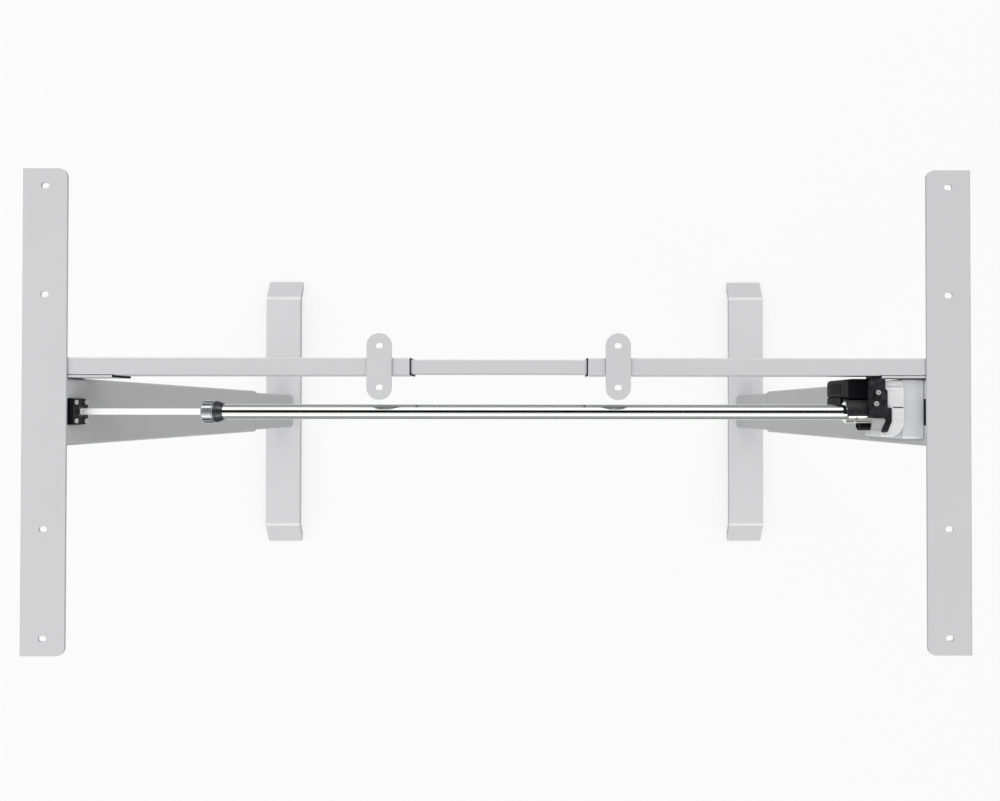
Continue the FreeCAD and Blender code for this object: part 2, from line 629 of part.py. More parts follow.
def socket_cap(side):
    """The black plastic trim on the socket's open end."""
    x = side * (COLUMN_FACE - SOCKET_REACH)
    front = COLUMN_BACK
    low = UNDER_TOP - BAR_HEIGHT - SOCKET_WALL
    upright = block(x, x - side * SOCKET_CAP, front, front + SOCKET_WALL, low, UNDER_TOP)
    ledge = block(x, x - side * SOCKET_CAP, front, BAR_FRONT + BAR_DEPTH, low, low + SOCKET_WALL)
    return upright.fuse(ledge).removeSplitter()


def support_plate(side):
    """A round-ended plate across the crossbar tube, with two slots for the desk top."""
    x = BAR_SHIFT + side * (BAR_INNER_END + PLATE_SETBACK)
    reach = PLATE_LENGTH / 2 - PLATE_WIDTH / 2
    half = PLATE_WIDTH / 2
    body = block(x - half, x + half, BAR_BACK_SHIFT - reach, BAR_BACK_SHIFT + reach, TOP - PLATE_SHEET, TOP)
    for sign in (-1, 1):
        body = body.fuse(bar_z(half, TOP - PLATE_SHEET, TOP, x, BAR_BACK_SHIFT + sign * reach))
    body = body.removeSplitter()
    for sign in (-1, 1):
        y = BAR_BACK_SHIFT + sign * PLATE_SLOT_SPACING / 2
        cutter = slot_x(PLATE_SLOT_LENGTH, PLATE_SLOT_WIDTH, x, y, TOP - PLATE_SHEET - 1, TOP + 1)
        body = body.cut(cutter)
    return body


# ---------------------------------------------------------------- bevel gearboxes
def gearbox_housing(side, boss_reach):
    """The cast case inside the column's top, with a boss out through the window."""
    near = HALF - OUTER_COLUMN_WIDTH / 2 + COLUMN_WALL + SEAT_CLEARANCE
    far = HALF + OUTER_COLUMN_WIDTH / 2 - COLUMN_WALL - SEAT_CLEARANCE
    half = GEARBOX_DEPTH / 2
    body = block(side * near, side * far, -half, half, TOP - GEARBOX_LOW, UNDER_TOP - GEARBOX_TOP_GAP)
    body = rounded(body, 3, 2)
    face = side * (COLUMN_FACE - boss_reach)
    boss = block(face, side * (near + 4), -WINDOW_DEPTH / 2, WINDOW_DEPTH / 2, WINDOW_LOW, WINDOW_TOP)
    boss = rounded(boss, BOSS_CORNER, 0, lambda c: c.z < SHAFT_Z)
    body = body.fuse(boss).removeSplitter()
    room = block(side * (near + 3), side * (far - 3), -GEAR_ROOM - 3, GEAR_ROOM + 3,
                 TOP - BEARING_TOP + 1, SHAFT_Z + GEAR_ROOM)
    mouth = block(face - side, side * (near + 5), -GEAR_ROOM + 1, GEAR_ROOM - 1,
                  SHAFT_Z - GEAR_ROOM + 1, SHAFT_Z + GEAR_ROOM - 1)
    body = body.cut(room).cut(mouth)
    x = side * HALF
    seat = BEARING_RADIUS + RUNNING_CLEARANCE
    body = body.cut(bar_z(seat, TOP - BEARING_TOP - BEARING_HEIGHT, TOP - BEARING_TOP + 2, x, 0))
    body = body.cut(bar_z(SCREW_RADIUS + 2, TOP - GEARBOX_LOW - 1, TOP - BEARING_TOP, x, 0))
    if boss_reach:
        for place in cover_screw_places():
            body = body.cut(bar_x(COVER_SCREW_RADIUS + RUNNING_CLEARANCE, face, side * (near + 2), *place))
    return body


def cover_screw_places():
    """The four cover screws, as y, z places on the boss."""
    places = []
    for sign in (-1, 1):
        for drop in COVER_SCREW_Z:
            places.append((sign * COVER_SCREW_Y, WINDOW_TOP - drop))
    return places


def gearbox_cover():
    """The left gearbox's face plate, which carries the rod's journal."""
    back = -(COLUMN_FACE - BOSS_REACH)
    front = back + COVER_SHEET
    body = block(back, front, -WINDOW_DEPTH / 2, WINDOW_DEPTH / 2, WINDOW_LOW, WINDOW_TOP)
    body = rounded(body, BOSS_CORNER, 0, lambda c: c.z < SHAFT_Z)
    body = body.fuse(bar_x(JOURNAL_BOSS_RADIUS, back, COVER_FRONT, 0, SHAFT_Z)).removeSplitter()
    body = body.cut(bar_x(JOURNAL_RADIUS + RUNNING_CLEARANCE, back - 1, COVER_FRONT + 1, 0, SHAFT_Z))
    for place in cover_screw_places():
        body = body.cut(bar_x(COVER_SCREW_RADIUS + RUNNING_CLEARANCE, back - 1, front + 1, *place))
    return body


def pan_screw_x(x, y, z, length):
    """A screw whose head faces +X and whose shank goes the other way."""
    shank = bar_x(COVER_SCREW_RADIUS, x - length, x, y, z)
    cap = bar_x(SCREW_HEAD_RADIUS, x, x + SCREW_HEAD_HEIGHT, y, z)
    cap = cap.cut(hexagon_x(COVER_SCREW_RADIUS * 1.6, x + SCREW_HEAD_HEIGHT - SCREW_SOCKET_DEPTH,
                            x + SCREW_HEAD_HEIGHT + 0.2, y, z))
    return shank.fuse(cap).removeSplitter()


def pan_screw_z(x, y, z, length):
    """A screw whose head faces up."""
    screw = pan_screw_x(0, 0, 0, length)
    screw.rotate(vec(0, 0, 0), vec(0, 1, 0), -90)
    return screw.translated(vec(x, y, z))


def gearbox_screws():
    front = -(COLUMN_FACE - BOSS_REACH) + COVER_SHEET
    return [pan_screw_x(front, y, z, COVER_SCREW_LENGTH) for y, z in cover_screw_places()]


def screw_bearing(side):
    x = side * HALF
    low = TOP - BEARING_TOP - BEARING_HEIGHT
    ring = bar_z(BEARING_RADIUS, low, low + BEARING_HEIGHT, x, 0)
    return ring.cut(bar_z(SCREW_RADIUS + RUNNING_CLEARANCE, low - 1, low + BEARING_HEIGHT + 1, x, 0))


def bevel_gear(bore):
    """A bevel gear along +X towards its apex at the origin, with its grooves cut."""
    near = BEVEL_RADIUS - BEVEL_LENGTH + BEVEL_GAP + GEAR_SHOULDER
    inner = near - BEVEL_GAP
    far = BEVEL_RADIUS + BEVEL_GAP
    back = far + BEVEL_BACK
    profile = [(-far, BEVEL_RADIUS), (-near, inner), (-near, bore), (-back, bore),
               (-back, BEVEL_RADIUS - 3), (-far - 2, BEVEL_RADIUS)]
    body = turned_x(profile, 0, 0)
    groove = block(-12, 12, -0.6, 0.6, -1.0, 2.0)
    groove.rotate(vec(0, 0, 0), vec(0, 1, 0), 45)
    middle = (near + far) / 2
    groove.translate(vec(-middle, 0, (inner + BEVEL_RADIUS) / 2))
    for tooth in range(BEVEL_TEETH):
        cutter = groove.copy()
        cutter.rotate(vec(0, 0, 0), vec(1, 0, 0), tooth * 360 / BEVEL_TEETH)
        body = body.cut(cutter)
    return body


def input_bevel():
    """The gear on the hexagon rod's journal."""
    gear = bevel_gear(JOURNAL_RADIUS + RUNNING_CLEARANCE)
    gear.rotate(vec(0, 0, 0), vec(0, 0, 1), 180)
    return gear.translated(vec(-HALF, 0, SHAFT_Z))


def screw_bevel(side):
    """The gear on the lead screw's upper end."""
    gear = bevel_gear(SCREW_RADIUS - SCREW_NECK_STEP + RUNNING_CLEARANCE)
    gear.rotate(vec(0, 0, 0), vec(0, 1, 0), -90)
    return gear.translated(vec(side * HALF, 0, SHAFT_Z))


def lead_screw(side):
    """The screw that hangs from the gearbox, with a collar above and below its bearing."""
    x = side * HALF
    bearing_top = TOP - BEARING_TOP
    bearing_low = bearing_top - BEARING_HEIGHT
    collar_low = bearing_low - 0.2 - SCREW_COLLAR_HEIGHT
    low = bearing_low - SCREW_LENGTH
    neck = SHAFT_Z - HALF + GEAR_END
    turned = [(low, 0), (low, SCREW_RADIUS - 1), (low + 1, SCREW_RADIUS),
              (collar_low, SCREW_RADIUS), (collar_low, SCREW_RADIUS + SCREW_COLLAR_STEP),
              (bearing_low - 0.2, SCREW_RADIUS + SCREW_COLLAR_STEP), (bearing_low - 0.2, SCREW_RADIUS),
              (bearing_top + 0.2, SCREW_RADIUS), (bearing_top + 0.2, SCREW_RADIUS - SCREW_NECK_STEP),
              (neck, SCREW_RADIUS - SCREW_NECK_STEP), (neck, 0)]
    return turned_z(turned, x, 0)


# ---------------------------------------------------------------- drive line
def hex_rod():
    """The telescoping rod: a round journal in the gearbox and a long hexagon."""
    journal = bar_x(JOURNAL_RADIUS, -GEAR_END, COVER_FRONT + 2.5, 0, SHAFT_Z)
    bar = hexagon_x(ROD_FLATS, COVER_FRONT, COVER_FRONT + ROD_LENGTH, 0, SHAFT_Z)
    return journal.fuse(bar).removeSplitter()


def drive_tube():
    body = bar_x(TUBE_RADIUS, TUBE_LEFT_END, TUBE_RIGHT_END, 0, SHAFT_Z)
    return body.cut(bar_x(TUBE_RADIUS - TUBE_WALL, TUBE_LEFT_END - 1, TUBE_RIGHT_END + 1, 0, SHAFT_Z))


def collet_sleeve():
    """The dark split sleeve on the tube's end, with a hexagon bore that guides the rod."""
    grip = TUBE_RADIUS + COLLET_WALL
    profile = [(NUT_LEFT + 4, 3), (NUT_LEFT + 4, grip), (NUT_RIGHT + 0.6, grip),
               (NUT_RIGHT + 0.6, CLAMP_NUT_RADIUS - 0.6), (NUT_RIGHT + 2.6, CLAMP_NUT_RADIUS - 0.6),
               (NUT_RIGHT + 3.4, CLAMP_NUT_RADIUS - 1.6), (NUT_RIGHT + 5.0, CLAMP_NUT_RADIUS - 1.6),
               (SLEEVE_RIGHT, TUBE_RADIUS + 1.0), (SLEEVE_RIGHT, TUBE_RADIUS + RUNNING_CLEARANCE),
               (TUBE_LEFT_END - 0.1, TUBE_RADIUS + RUNNING_CLEARANCE), (TUBE_LEFT_END - 0.1, 3)]
    body = turned_x(profile, 0, SHAFT_Z)
    bore = hexagon_x(ROD_FLATS + 2 * SEAT_CLEARANCE, NUT_LEFT, TUBE_LEFT_END + 2, 0, SHAFT_Z)
    return body.cut(bore)


def clamp_nut():
    """The ribbed nut that tightens the sleeve on the rod."""
    body = bar_x(CLAMP_NUT_RADIUS - RIB_HEIGHT, NUT_LEFT, NUT_RIGHT, 0, SHAFT_Z)
    rib_angle = 360 / CLAMP_NUT_RIBS
    rib = block(NUT_LEFT + RIB_MARGIN, NUT_RIGHT - RIB_MARGIN, -RIB_WIDTH / 2, RIB_WIDTH / 2,
                CLAMP_NUT_RADIUS - RIB_HEIGHT - 0.9, CLAMP_NUT_RADIUS)
    ribs = []
    for step in range(CLAMP_NUT_RIBS):
        copy = rib.copy()
        copy.rotate(vec(0, 0, 0), vec(1, 0, 0), step * rib_angle)
        copy.translate(vec(0, 0, SHAFT_Z))
        ribs.append(copy)
    body = body.fuse(ribs).removeSplitter()
    reach = ROD_FLATS / math.sqrt(3) + 0.6
    body = body.cut(bar_x(reach, NUT_LEFT - 1, NUT_RIGHT + 1, 0, SHAFT_Z))
    grip = TUBE_RADIUS + COLLET_WALL + SEAT_CLEARANCE
    return body.cut(bar_x(grip, NUT_LEFT + 3, NUT_RIGHT + 1, 0, SHAFT_Z))


# ---------------------------------------------------------------- motor unit on the right leg
def drive_hub():
    """The sleeve on the tube's end, the output shaft and its bevel gear, in one piece."""
    bore = TUBE_RADIUS + RUNNING_CLEARANCE
    tube_seat = TUBE_RIGHT_END + 0.2
    groove = HUB_LEFT + HUB_GROOVE_START
    groove_end = groove + HUB_GROOVE_WIDTH
    profile = [(HUB_LEFT, bore), (HUB_LEFT, HUB_RADIUS - 1), (HUB_LEFT + 1, HUB_RADIUS),
               (groove, HUB_RADIUS), (groove, HUB_RADIUS - HUB_GROOVE_DEPTH),
               (groove_end, HUB_RADIUS - HUB_GROOVE_DEPTH), (groove_end, HUB_RADIUS),
               (HUB_RIGHT - 1, HUB_RADIUS), (HUB_RIGHT, HUB_RADIUS - 1), (HUB_RIGHT, OUTPUT_RADIUS),
               (COLUMN_FACE - 4, OUTPUT_RADIUS), (COLUMN_FACE - 4, JOURNAL_RADIUS),
               (GEAR_END, JOURNAL_RADIUS), (GEAR_END, 0), (tube_seat, 0), (tube_seat, bore)]
    shaft = turned_x(profile, 0, SHAFT_Z)
    gear = bevel_gear(JOURNAL_RADIUS - 0.5).translated(vec(HALF, 0, SHAFT_Z))
    return shaft.fuse(gear).removeSplitter()


def worm_wheel():
    """The wheel on the output shaft, with its tooth spaces cut."""
    half = WHEEL_WIDTH / 2
    body = bar_x(WHEEL_RADIUS, WHEEL_X - half, WHEEL_X + half, 0, SHAFT_Z)
    groove = block(WHEEL_X - half - 1, WHEEL_X + half + 1, -0.75, 0.75, WHEEL_RADIUS - 1.8, WHEEL_RADIUS + 1)
    for tooth in range(WHEEL_TEETH):
        cutter = groove.copy()
        cutter.rotate(vec(0, 0, 0), vec(1, 0, 0), tooth * 360 / WHEEL_TEETH)
        body = body.cut(cutter.translated(vec(0, 0, SHAFT_Z)))
    bore = OUTPUT_RADIUS + RUNNING_CLEARANCE
    return body.cut(bar_x(bore, WHEEL_X - half - 1, WHEEL_X + half + 1, 0, SHAFT_Z))


def gear_housing():
    """The cast worm case, with a large round on its front outer corner and a parting groove."""
    body = block(CASE_INNER, CASE_OUTER, -CASE_HALF, CASE_HALF, CASE_LOW, CASE_TOP)
    body = rounded(body, CASE_LOBE, 2, lambda c: c.x > WHEEL_X and c.y < 0)
    body = rounded(body, CASE_CORNER, 2, lambda c: c.x < WHEEL_X or c.y > 0)
    rims = [e for e in body.Edges if abs(e.CenterOfMass.z - CASE_TOP) < 0.01]
    body = body.makeFillet(CASE_ROUND, rims)
    lug_top = CASE_TOP - LUG_DROP
    lug = block(CASE_INNER + LUG_INSET, CASE_OUTER, CASE_HALF - CASE_CORNER, LUG_Y,
                lug_top - LUG_HEIGHT, lug_top)
    body = body.fuse(rounded(lug, CASE_CORNER, 0, lambda c: c.y > CASE_HALF)).removeSplitter()
    body = body.cut(block(WHEEL_X, CASE_OUTER + 1, PARTING_Y, PARTING_Y + PARTING_WIDTH,
                          CASE_TOP - PARTING_DEPTH, CASE_TOP + 1))
    wheel_room = bar_x(WHEEL_RADIUS + 0.6, CASE_INNER + CASE_WALL, CASE_OUTER - CASE_WALL, 0, SHAFT_Z)
    worm_low = CASE_LOW - 1
    worm_room = bar_z(WORM_RADIUS + 0.6, worm_low, SHAFT_Z + 10, WHEEL_X, WORM_Y)
    body = body.cut(wheel_room).cut(worm_room)
    bore = OUTPUT_RADIUS + RUNNING_CLEARANCE
    body = body.cut(bar_x(bore, CASE_INNER - 1, CASE_OUTER + 1, 0, SHAFT_Z))
    return body


def motor_can():
    """The motor's round steel can, which hangs below the worm case."""
    body = bar_z(MOTOR_RADIUS, CASE_LOW - MOTOR_HEIGHT, CASE_LOW - MOTOR_FLANGE, WHEEL_X, WORM_Y)
    rims = [e for e in body.Edges if isinstance(e.Curve, Part.Circle) and e.CenterOfMass.z < CASE_LOW - 9]
    body = body.makeFillet(MOTOR_ROUND, rims)
    flange = bar_z(MOTOR_RADIUS, CASE_LOW - MOTOR_FLANGE, CASE_LOW, WHEEL_X, WORM_Y)
    body = body.fuse(flange).removeSplitter()
    return body.cut(bar_z(WORM_RADIUS + 0.6, CASE_LOW - 30, CASE_LOW + 1, WHEEL_X, WORM_Y))


def worm():
    """The motor's worm, with a ring groove for each turn of its thread."""
    top = SHAFT_Z + 9.0
    low = CASE_LOW - 29.0
    body = bar_z(WORM_RADIUS, CASE_LOW + 6, top, WHEEL_X, WORM_Y)
    turn = SHAFT_Z - 8.0
    while turn < SHAFT_Z + 7.0:
        ring = bar_z(WORM_RADIUS + 1, turn, turn + WORM_GROOVE, WHEEL_X, WORM_Y)
        ring = ring.cut(bar_z(WORM_RADIUS - WORM_DEPTH, turn - 1, turn + WORM_PITCH, WHEEL_X, WORM_Y))
        body = body.cut(ring)
        turn += WORM_PITCH
    return body.fuse(bar_z(WORM_RADIUS - 2, low, CASE_LOW + 7, WHEEL_X, WORM_Y)).removeSplitter()


def motor_mount():
    """The cast block that bolts the motor unit to the column's inner face."""
    body = block(CASE_OUTER, COLUMN_FACE, MOUNT_FRONT, MOUNT_BACK, MOUNT_LOW, MOUNT_TOP)
    body = rounded(body, 3, 0, lambda c: c.z > SHAFT_Z)
    bore = OUTPUT_RADIUS + 1.5
    return body.cut(bar_x(bore, CASE_OUTER - 1, COLUMN_FACE + 1, 0, SHAFT_Z))


def motor_cover():
    """The black hollow cover beside the hub, closed on top and open below."""
    body = block(COVER_INNER, CASE_INNER - SEAT_CLEARANCE, COVER_Y0, COVER_Y1, COVER_LOW, COVER_TOP)
    body = rounded(body, COVER_CORNER, 2, lambda c: c.x < HUB_RIGHT - COVER_CORNER)
    rims = [e for e in body.Edges if abs(e.CenterOfMass.z - COVER_TOP) < 0.01]
    body = body.makeFillet(CASE_ROUND, rims)
    inside = block(COVER_INNER + COVER_WALL, CASE_INNER - SEAT_CLEARANCE - COVER_WALL, COVER_Y0 + COVER_WALL,
                   COVER_Y1 - COVER_WALL, COVER_LOW - 1, COVER_TOP - COVER_WALL - 0.6)
    body = body.cut(rounded(inside, 3, 2))
    shelf = block(COVER_INNER, CASE_INNER - SEAT_CLEARANCE, COVER_SHELF_Y, COVER_Y0 + COVER_WALL / 2,
                  COVER_LOW, SHAFT_Z - HUB_RADIUS - COVER_WALL)
    return body.fuse(shelf).removeSplitter()


def hub_hood():
    """The half sleeve over the hub, on the lid's underside."""
    start = HUB_LEFT - HOOD_OVERHANG
    reach = 2 * GUARD_RADIUS
    body = bar_x(GUARD_RADIUS, start, CASE_INNER - SEAT_CLEARANCE, 0, SHAFT_Z)
    body = body.cut(bar_x(GUARD_RADIUS - GUARD_WALL, start - 1, CASE_INNER + 1, 0, SHAFT_Z))
    below = block(start, CASE_INNER + 1, -reach, reach, SHAFT_Z - reach, SHAFT_Z + 1)
    front = block(start, CASE_INNER + 1, -reach, HOOD_FRONT, SHAFT_Z, SHAFT_Z + reach)
    return body.cut(below).cut(front)


def gear_lid():
    """The black lid on the worm case, with its hub hood and an arm round the case's front."""
    outline = [(CASE_INNER + x, y) for x, y in LID_OUTLINE]
    body = outline_plate(outline, LID_TOP - LID_SHEET, LID_TOP)
    web = block(CASE_INNER - 13.5, CASE_INNER - SEAT_CLEARANCE, -3, 6, SHAFT_Z + GUARD_RADIUS - 1.2,
                LID_TOP - 1)
    post_y = LID_SCREWS[0][1]
    post = bar_z(LID_POST_RADIUS, COVER_TOP + SEAT_CLEARANCE, LID_TOP - 1, CASE_INNER + LID_POST_X, post_y)
    body = body.fuse([web, post, hub_hood()]).removeSplitter()
    for x, y in LID_SCREWS:
        bore = COVER_SCREW_RADIUS + RUNNING_CLEARANCE
        body = body.cut(bar_z(bore, LID_TOP - LID_SHEET - 1, LID_TOP + 1, CASE_INNER + x, y))
    return body


def lid_fixings():
    """The lid's two screws and the sheet clip beside its arm, over the cable socket."""
    screws = [pan_screw_z(CASE_INNER + x, y, LID_TOP, LID_SHEET - 0.4) for x, y in LID_SCREWS]
    outline = [(CASE_INNER + x, y) for x, y in CLIP_OUTLINE]
    return screws + [outline_plate(outline, CASE_TOP, CASE_TOP + CLIP_SHEET)]


def cable_connector():
    """The round-nosed socket on the worm case where the motor's lead plugs in."""
    body = bar_x(CONNECTOR_RADIUS, CASE_INNER - CONNECTOR_LENGTH, CASE_INNER, CONNECTOR_Y, CONNECTOR_Z)
    rims = [e for e in body.Edges if isinstance(e.Curve, Part.Circle) and e.CenterOfMass.x < CASE_INNER - 10]
    body = body.makeFillet(CONNECTOR_ROUND, rims)
    recess_start = CASE_INNER - CONNECTOR_LENGTH
    return body.cut(bar_x(CONNECTOR_RADIUS - CONNECTOR_WALL, recess_start - 1,
                          recess_start + CONNECTOR_RECESS, CONNECTOR_Y, CONNECTOR_Z))


# ---------------------------------------------------------------- write every node
for name, side in SIDES.items():
    write("foot_" + name, foot(side))
    write("foot_bolts_" + name, *foot_bolts(side))
    write("column_plug_" + name, column_plug(side))
    write("inner_column_" + name, inner_column(side))
    write("lift_nut_" + name, lift_nut(side))
    write("glide_pads_" + name, *glide_pads(side))
    write("leveller_front_" + name, leveller(side, -LEVELLER_SPACING / 2))
    write("leveller_back_" + name, leveller(side, LEVELLER_SPACING / 2))
    write("outer_column_" + name, outer_column(side))
    write("column_ring_" + name, column_ring(side))
    write("side_bracket_" + name, side_bracket(side))
    write("crossbar_tube_" + name, crossbar_tube(side))
    write("crossbar_collar_" + name, crossbar_collar(side))
    write("crossbar_screws_" + name, *crossbar_screws(side))
    write("socket_" + name, socket(side))
    write("socket_cap_" + name, socket_cap(side))
    write("support_plate_" + name, support_plate(side))
    write("gearbox_" + name, gearbox_housing(side, BOSS_REACH if side < 0 else 0))
    write("screw_bearing_" + name, screw_bearing(side))
    write("screw_bevel_" + name, screw_bevel(side))
    write("lead_screw_" + name, lead_screw(side))

write("gearbox_cover", gearbox_cover())
write("gearbox_screws", *gearbox_screws())
write("crossbar_slider", crossbar_slider())
write("hex_rod", hex_rod())
write("input_bevel", input_bevel())
write("drive_tube", drive_tube())
write("collet_sleeve", collet_sleeve())
write("clamp_nut", clamp_nut())
write("drive_hub", drive_hub())
write("worm_wheel", worm_wheel())
write("worm", worm())
write("gear_housing", gear_housing())
write("motor_can", motor_can())
write("motor_mount", motor_mount())
write("motor_cover", motor_cover())
write("gear_lid", gear_lid())
write("lid_fixings", *lid_fixings())
write("cable_connector", cable_connector())
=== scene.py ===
import json
import math

import bpy
import bmesh
from bpy.props import FloatProperty, FloatVectorProperty, IntProperty, PointerProperty
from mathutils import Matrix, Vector


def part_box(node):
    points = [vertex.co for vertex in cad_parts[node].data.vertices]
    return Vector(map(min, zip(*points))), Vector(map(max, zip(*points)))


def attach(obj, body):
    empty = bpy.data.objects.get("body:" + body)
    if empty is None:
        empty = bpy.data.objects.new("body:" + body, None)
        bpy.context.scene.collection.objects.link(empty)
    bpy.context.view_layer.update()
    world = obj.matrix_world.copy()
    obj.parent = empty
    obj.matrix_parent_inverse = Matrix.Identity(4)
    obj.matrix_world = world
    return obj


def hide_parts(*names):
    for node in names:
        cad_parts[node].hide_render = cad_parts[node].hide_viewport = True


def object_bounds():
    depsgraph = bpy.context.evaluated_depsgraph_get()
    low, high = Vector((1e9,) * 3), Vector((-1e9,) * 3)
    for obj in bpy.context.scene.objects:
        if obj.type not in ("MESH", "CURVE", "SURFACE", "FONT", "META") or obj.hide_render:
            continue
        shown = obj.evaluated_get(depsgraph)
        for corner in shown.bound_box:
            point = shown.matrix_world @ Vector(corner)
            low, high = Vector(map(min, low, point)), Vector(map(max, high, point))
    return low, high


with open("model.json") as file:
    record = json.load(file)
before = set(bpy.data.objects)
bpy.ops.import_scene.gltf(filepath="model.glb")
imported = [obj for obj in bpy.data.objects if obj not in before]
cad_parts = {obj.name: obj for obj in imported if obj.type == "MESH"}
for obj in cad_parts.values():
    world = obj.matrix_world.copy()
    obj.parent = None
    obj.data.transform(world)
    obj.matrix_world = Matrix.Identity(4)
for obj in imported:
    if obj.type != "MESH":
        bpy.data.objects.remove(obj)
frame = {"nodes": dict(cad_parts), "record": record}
CAD_LOW, CAD_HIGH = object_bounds()

bl_info = {
    "name": "Lifting Desk Frame",
    "version": (1, 0, 0),
    "blender": (4, 5, 0),
    "location": "View3D > Sidebar > Desk Frame",
    "description": "Finishes a height-adjustable desk frame and sets it on a plain studio floor",
    "category": "Object",
}

MM = 0.001
X_AXIS = Vector((1, 0, 0))
Z_AXIS = Vector((0, 0, 1))
SIDES = ("left", "right")
ENDS = ("front", "back")
SMOOTH_ANGLE = 35               # degrees between faces that still shade as one

WHITE = (1.0, 1.0, 1.0)
DUST = (0.72, 0.71, 0.69)
# colour of the painted shade laid in grooves and close gaps
RECESS_SHADE = (0.02, 0.02, 0.022)
UP = (0.0, 0.0, 1.0)            # directions towards which the painted edge highlights lean
BACK = (0.0, 1.0, 0.0)
LEAN_STARTS = (0.25, 0.40)      # parts of a normal between which a painted edge highlight fades in
LEVEL_STARTS = (0.90, 0.84)     # and where it fades out again towards level faces
SHADE_STARTS = (0.72, 0.42)     # openness between which the painted recess shade fades in
FOOT_BEND = 0.264               # from the x axis to each bend across a foot
# half width of the painted white highlight line along each bend across a foot
FOLD_HIGHLIGHT_HALF_WIDTH = 5.0 * MM
ALONG_X = (1.0, 60.0, 60.0)     # how far drawn lines are stretched in x, y and z
ALONG_Z = (60.0, 60.0, 1.0)
EVEN = (8.0, 8.0, 8.0)

FLOOR_SIZE = 14
FLOOR_DROP = 0.5 * MM
FLOOR_GLOW = 0.80               # share of the floor that glows, the rest takes shadows
FLOOR_DARK = 0.22               # grey that metal and undersides see of the floor
NEAR_WHITE = (0.75, 1.0)        # distances from the x axis where mirrored white fades out
FAR_WHITE = (3.2, 4.5)          # and where it fades in again
SKY_RISE = (0.0, 0.6, 0.26, 1.0)    # sky strength from 0.26 at the horizon to 1 higher up
GAP_CENTRE = 0.07               # the dark gap overhead, as parts of a direction
GAP_ACROSS = (0.26, 0.40)
GAP_ALONG = (0.50, 0.66)
LAMPS = (("back_lamp", (0, 2.1, 2.7), (4.0, 1.0), 20),
         ("front_lamp", (0, -2.1, 2.7), (4.0, 1.0), 20),
         ("left_lamp", (-2.6, 0, 2.4), (1.0, 2.5), 7))
CAMERA_PLACE = (0.04203, 0.00138, 1.91451)
CAMERA_TURN = (0.01028, -0.00515, 0.00081)
CAMERA_LENS = 29.08
CAMERA_SHIFT = (-0.03706, 0.00194)

SLOT_OF = {part["node"]: part["material_slot"] for part in frame["record"]["subparts"]}
BODY_OF = {node: body for body, nodes in frame["record"]["behaviour"]["bodies"].items()
           for node in nodes}


# ---------------------------------------------------------------- settings a user may change
class DeskFrameSizes(bpy.types.PropertyGroup):
    """Sizes of the finishing details."""

    sheet_edge: FloatProperty(
        name="Sheet edge", description="Round on the edges of the steel sheet and tube parts",
        default=0.5 * MM, min=0, unit="LENGTH")
    cast_edge: FloatProperty(
        name="Cast edge", description="Round on the edges of the cast and moulded parts",
        default=0.7 * MM, min=0, unit="LENGTH")
    fine_edge: FloatProperty(
        name="Fine edge", description="Round on the edges of screws and other small parts",
        default=0.2 * MM, min=0, unit="LENGTH")
    round_steps: IntProperty(
        name="Round steps", description="Sides of a turned part's circle", default=96, min=24)
    nut_ribs: IntProperty(
        name="Nut ribs", description="Grip ribs round the clamp nut", default=14, min=8)
    rib_height: FloatProperty(
        name="Rib height", description="How far the grip ribs stand out",
        default=0.9 * MM, min=0, unit="LENGTH")
    thread_pitch: FloatProperty(
        name="Thread pitch", description="Height of one turn of the lead screw's thread",
        default=3 * MM, min=1 * MM, unit="LENGTH")
    thread_depth: FloatProperty(
        name="Thread depth", description="Depth of the lead screw's thread",
        default=1.1 * MM, min=0, unit="LENGTH")
    vent_count: IntProperty(
        name="Vent grooves", description="Grooves in the motor cover's side", default=6, min=0)


class DeskFrameColours(bpy.types.PropertyGroup):
    """Colours of the finishes and of the studio."""

    coat: FloatVectorProperty(
        name="Powder coat", description="Silver-grey powder coat of the steel parts",
        subtype="COLOR", default=(0.655, 0.655, 0.665), min=0, max=1)
    black: FloatVectorProperty(
        name="Black parts", description="Moulded and painted black parts",
        subtype="COLOR", default=(0.006, 0.006, 0.007), min=0, max=1)
    chrome: FloatVectorProperty(
        name="Chrome", description="Polished drive tube and hub",
        subtype="COLOR", default=(0.78, 0.80, 0.78), min=0, max=1)
    aluminium: FloatVectorProperty(
        name="Cast aluminium", description="Worm case and its mount",
        subtype="COLOR", default=(0.82, 0.83, 0.84), min=0, max=1)
    steel: FloatVectorProperty(
        name="Bright steel", description="Drawn rod and plated screws",
        subtype="COLOR", default=(0.90, 0.90, 0.90), min=0, max=1)
    nut: FloatVectorProperty(
        name="Nut metal", description="Grey plated clamp nut",
        subtype="COLOR", default=(0.40, 0.41, 0.42), min=0, max=1)
    floor: FloatVectorProperty(
        name="Floor", description="Studio floor",
        subtype="COLOR", default=(0.93, 0.93, 0.93), min=0, max=1)


# ---------------------------------------------------------------- modelling helpers
def deselect_all():
    """Leave edit mode and clear the selection, which the loaded frame fills."""
    if bpy.context.mode != "OBJECT":
        bpy.ops.object.mode_set(mode="OBJECT")
    bpy.ops.object.select_all(action="DESELECT")


def start_edit():
    """Enter edit mode on the active object."""
    bpy.ops.object.mode_set(mode="EDIT")


def edit_all():
    """Enter edit mode with the whole mesh selected."""
    start_edit()
    bpy.ops.mesh.select_all(action="SELECT")


def stop_edit():
    """Go back to object mode."""
    bpy.ops.object.mode_set(mode="OBJECT")


def work_on(piece):
    """Make one object the only selected and active one."""
    deselect_all()
    piece.select_set(True)
    bpy.context.view_layer.objects.active = piece


def pick_faces(test):
    """Select the faces of the mesh in edit mode that pass test(centre, normal)."""
    bpy.ops.mesh.select_mode(type="FACE")
    bpy.ops.mesh.select_all(action="DESELECT")
    form = bmesh.from_edit_mesh(bpy.context.edit_object.data)
    for face in form.faces:
        face.select_set(bool(test(face.calc_center_median(), face.normal)))
    bmesh.update_edit_mesh(bpy.context.edit_object.data)


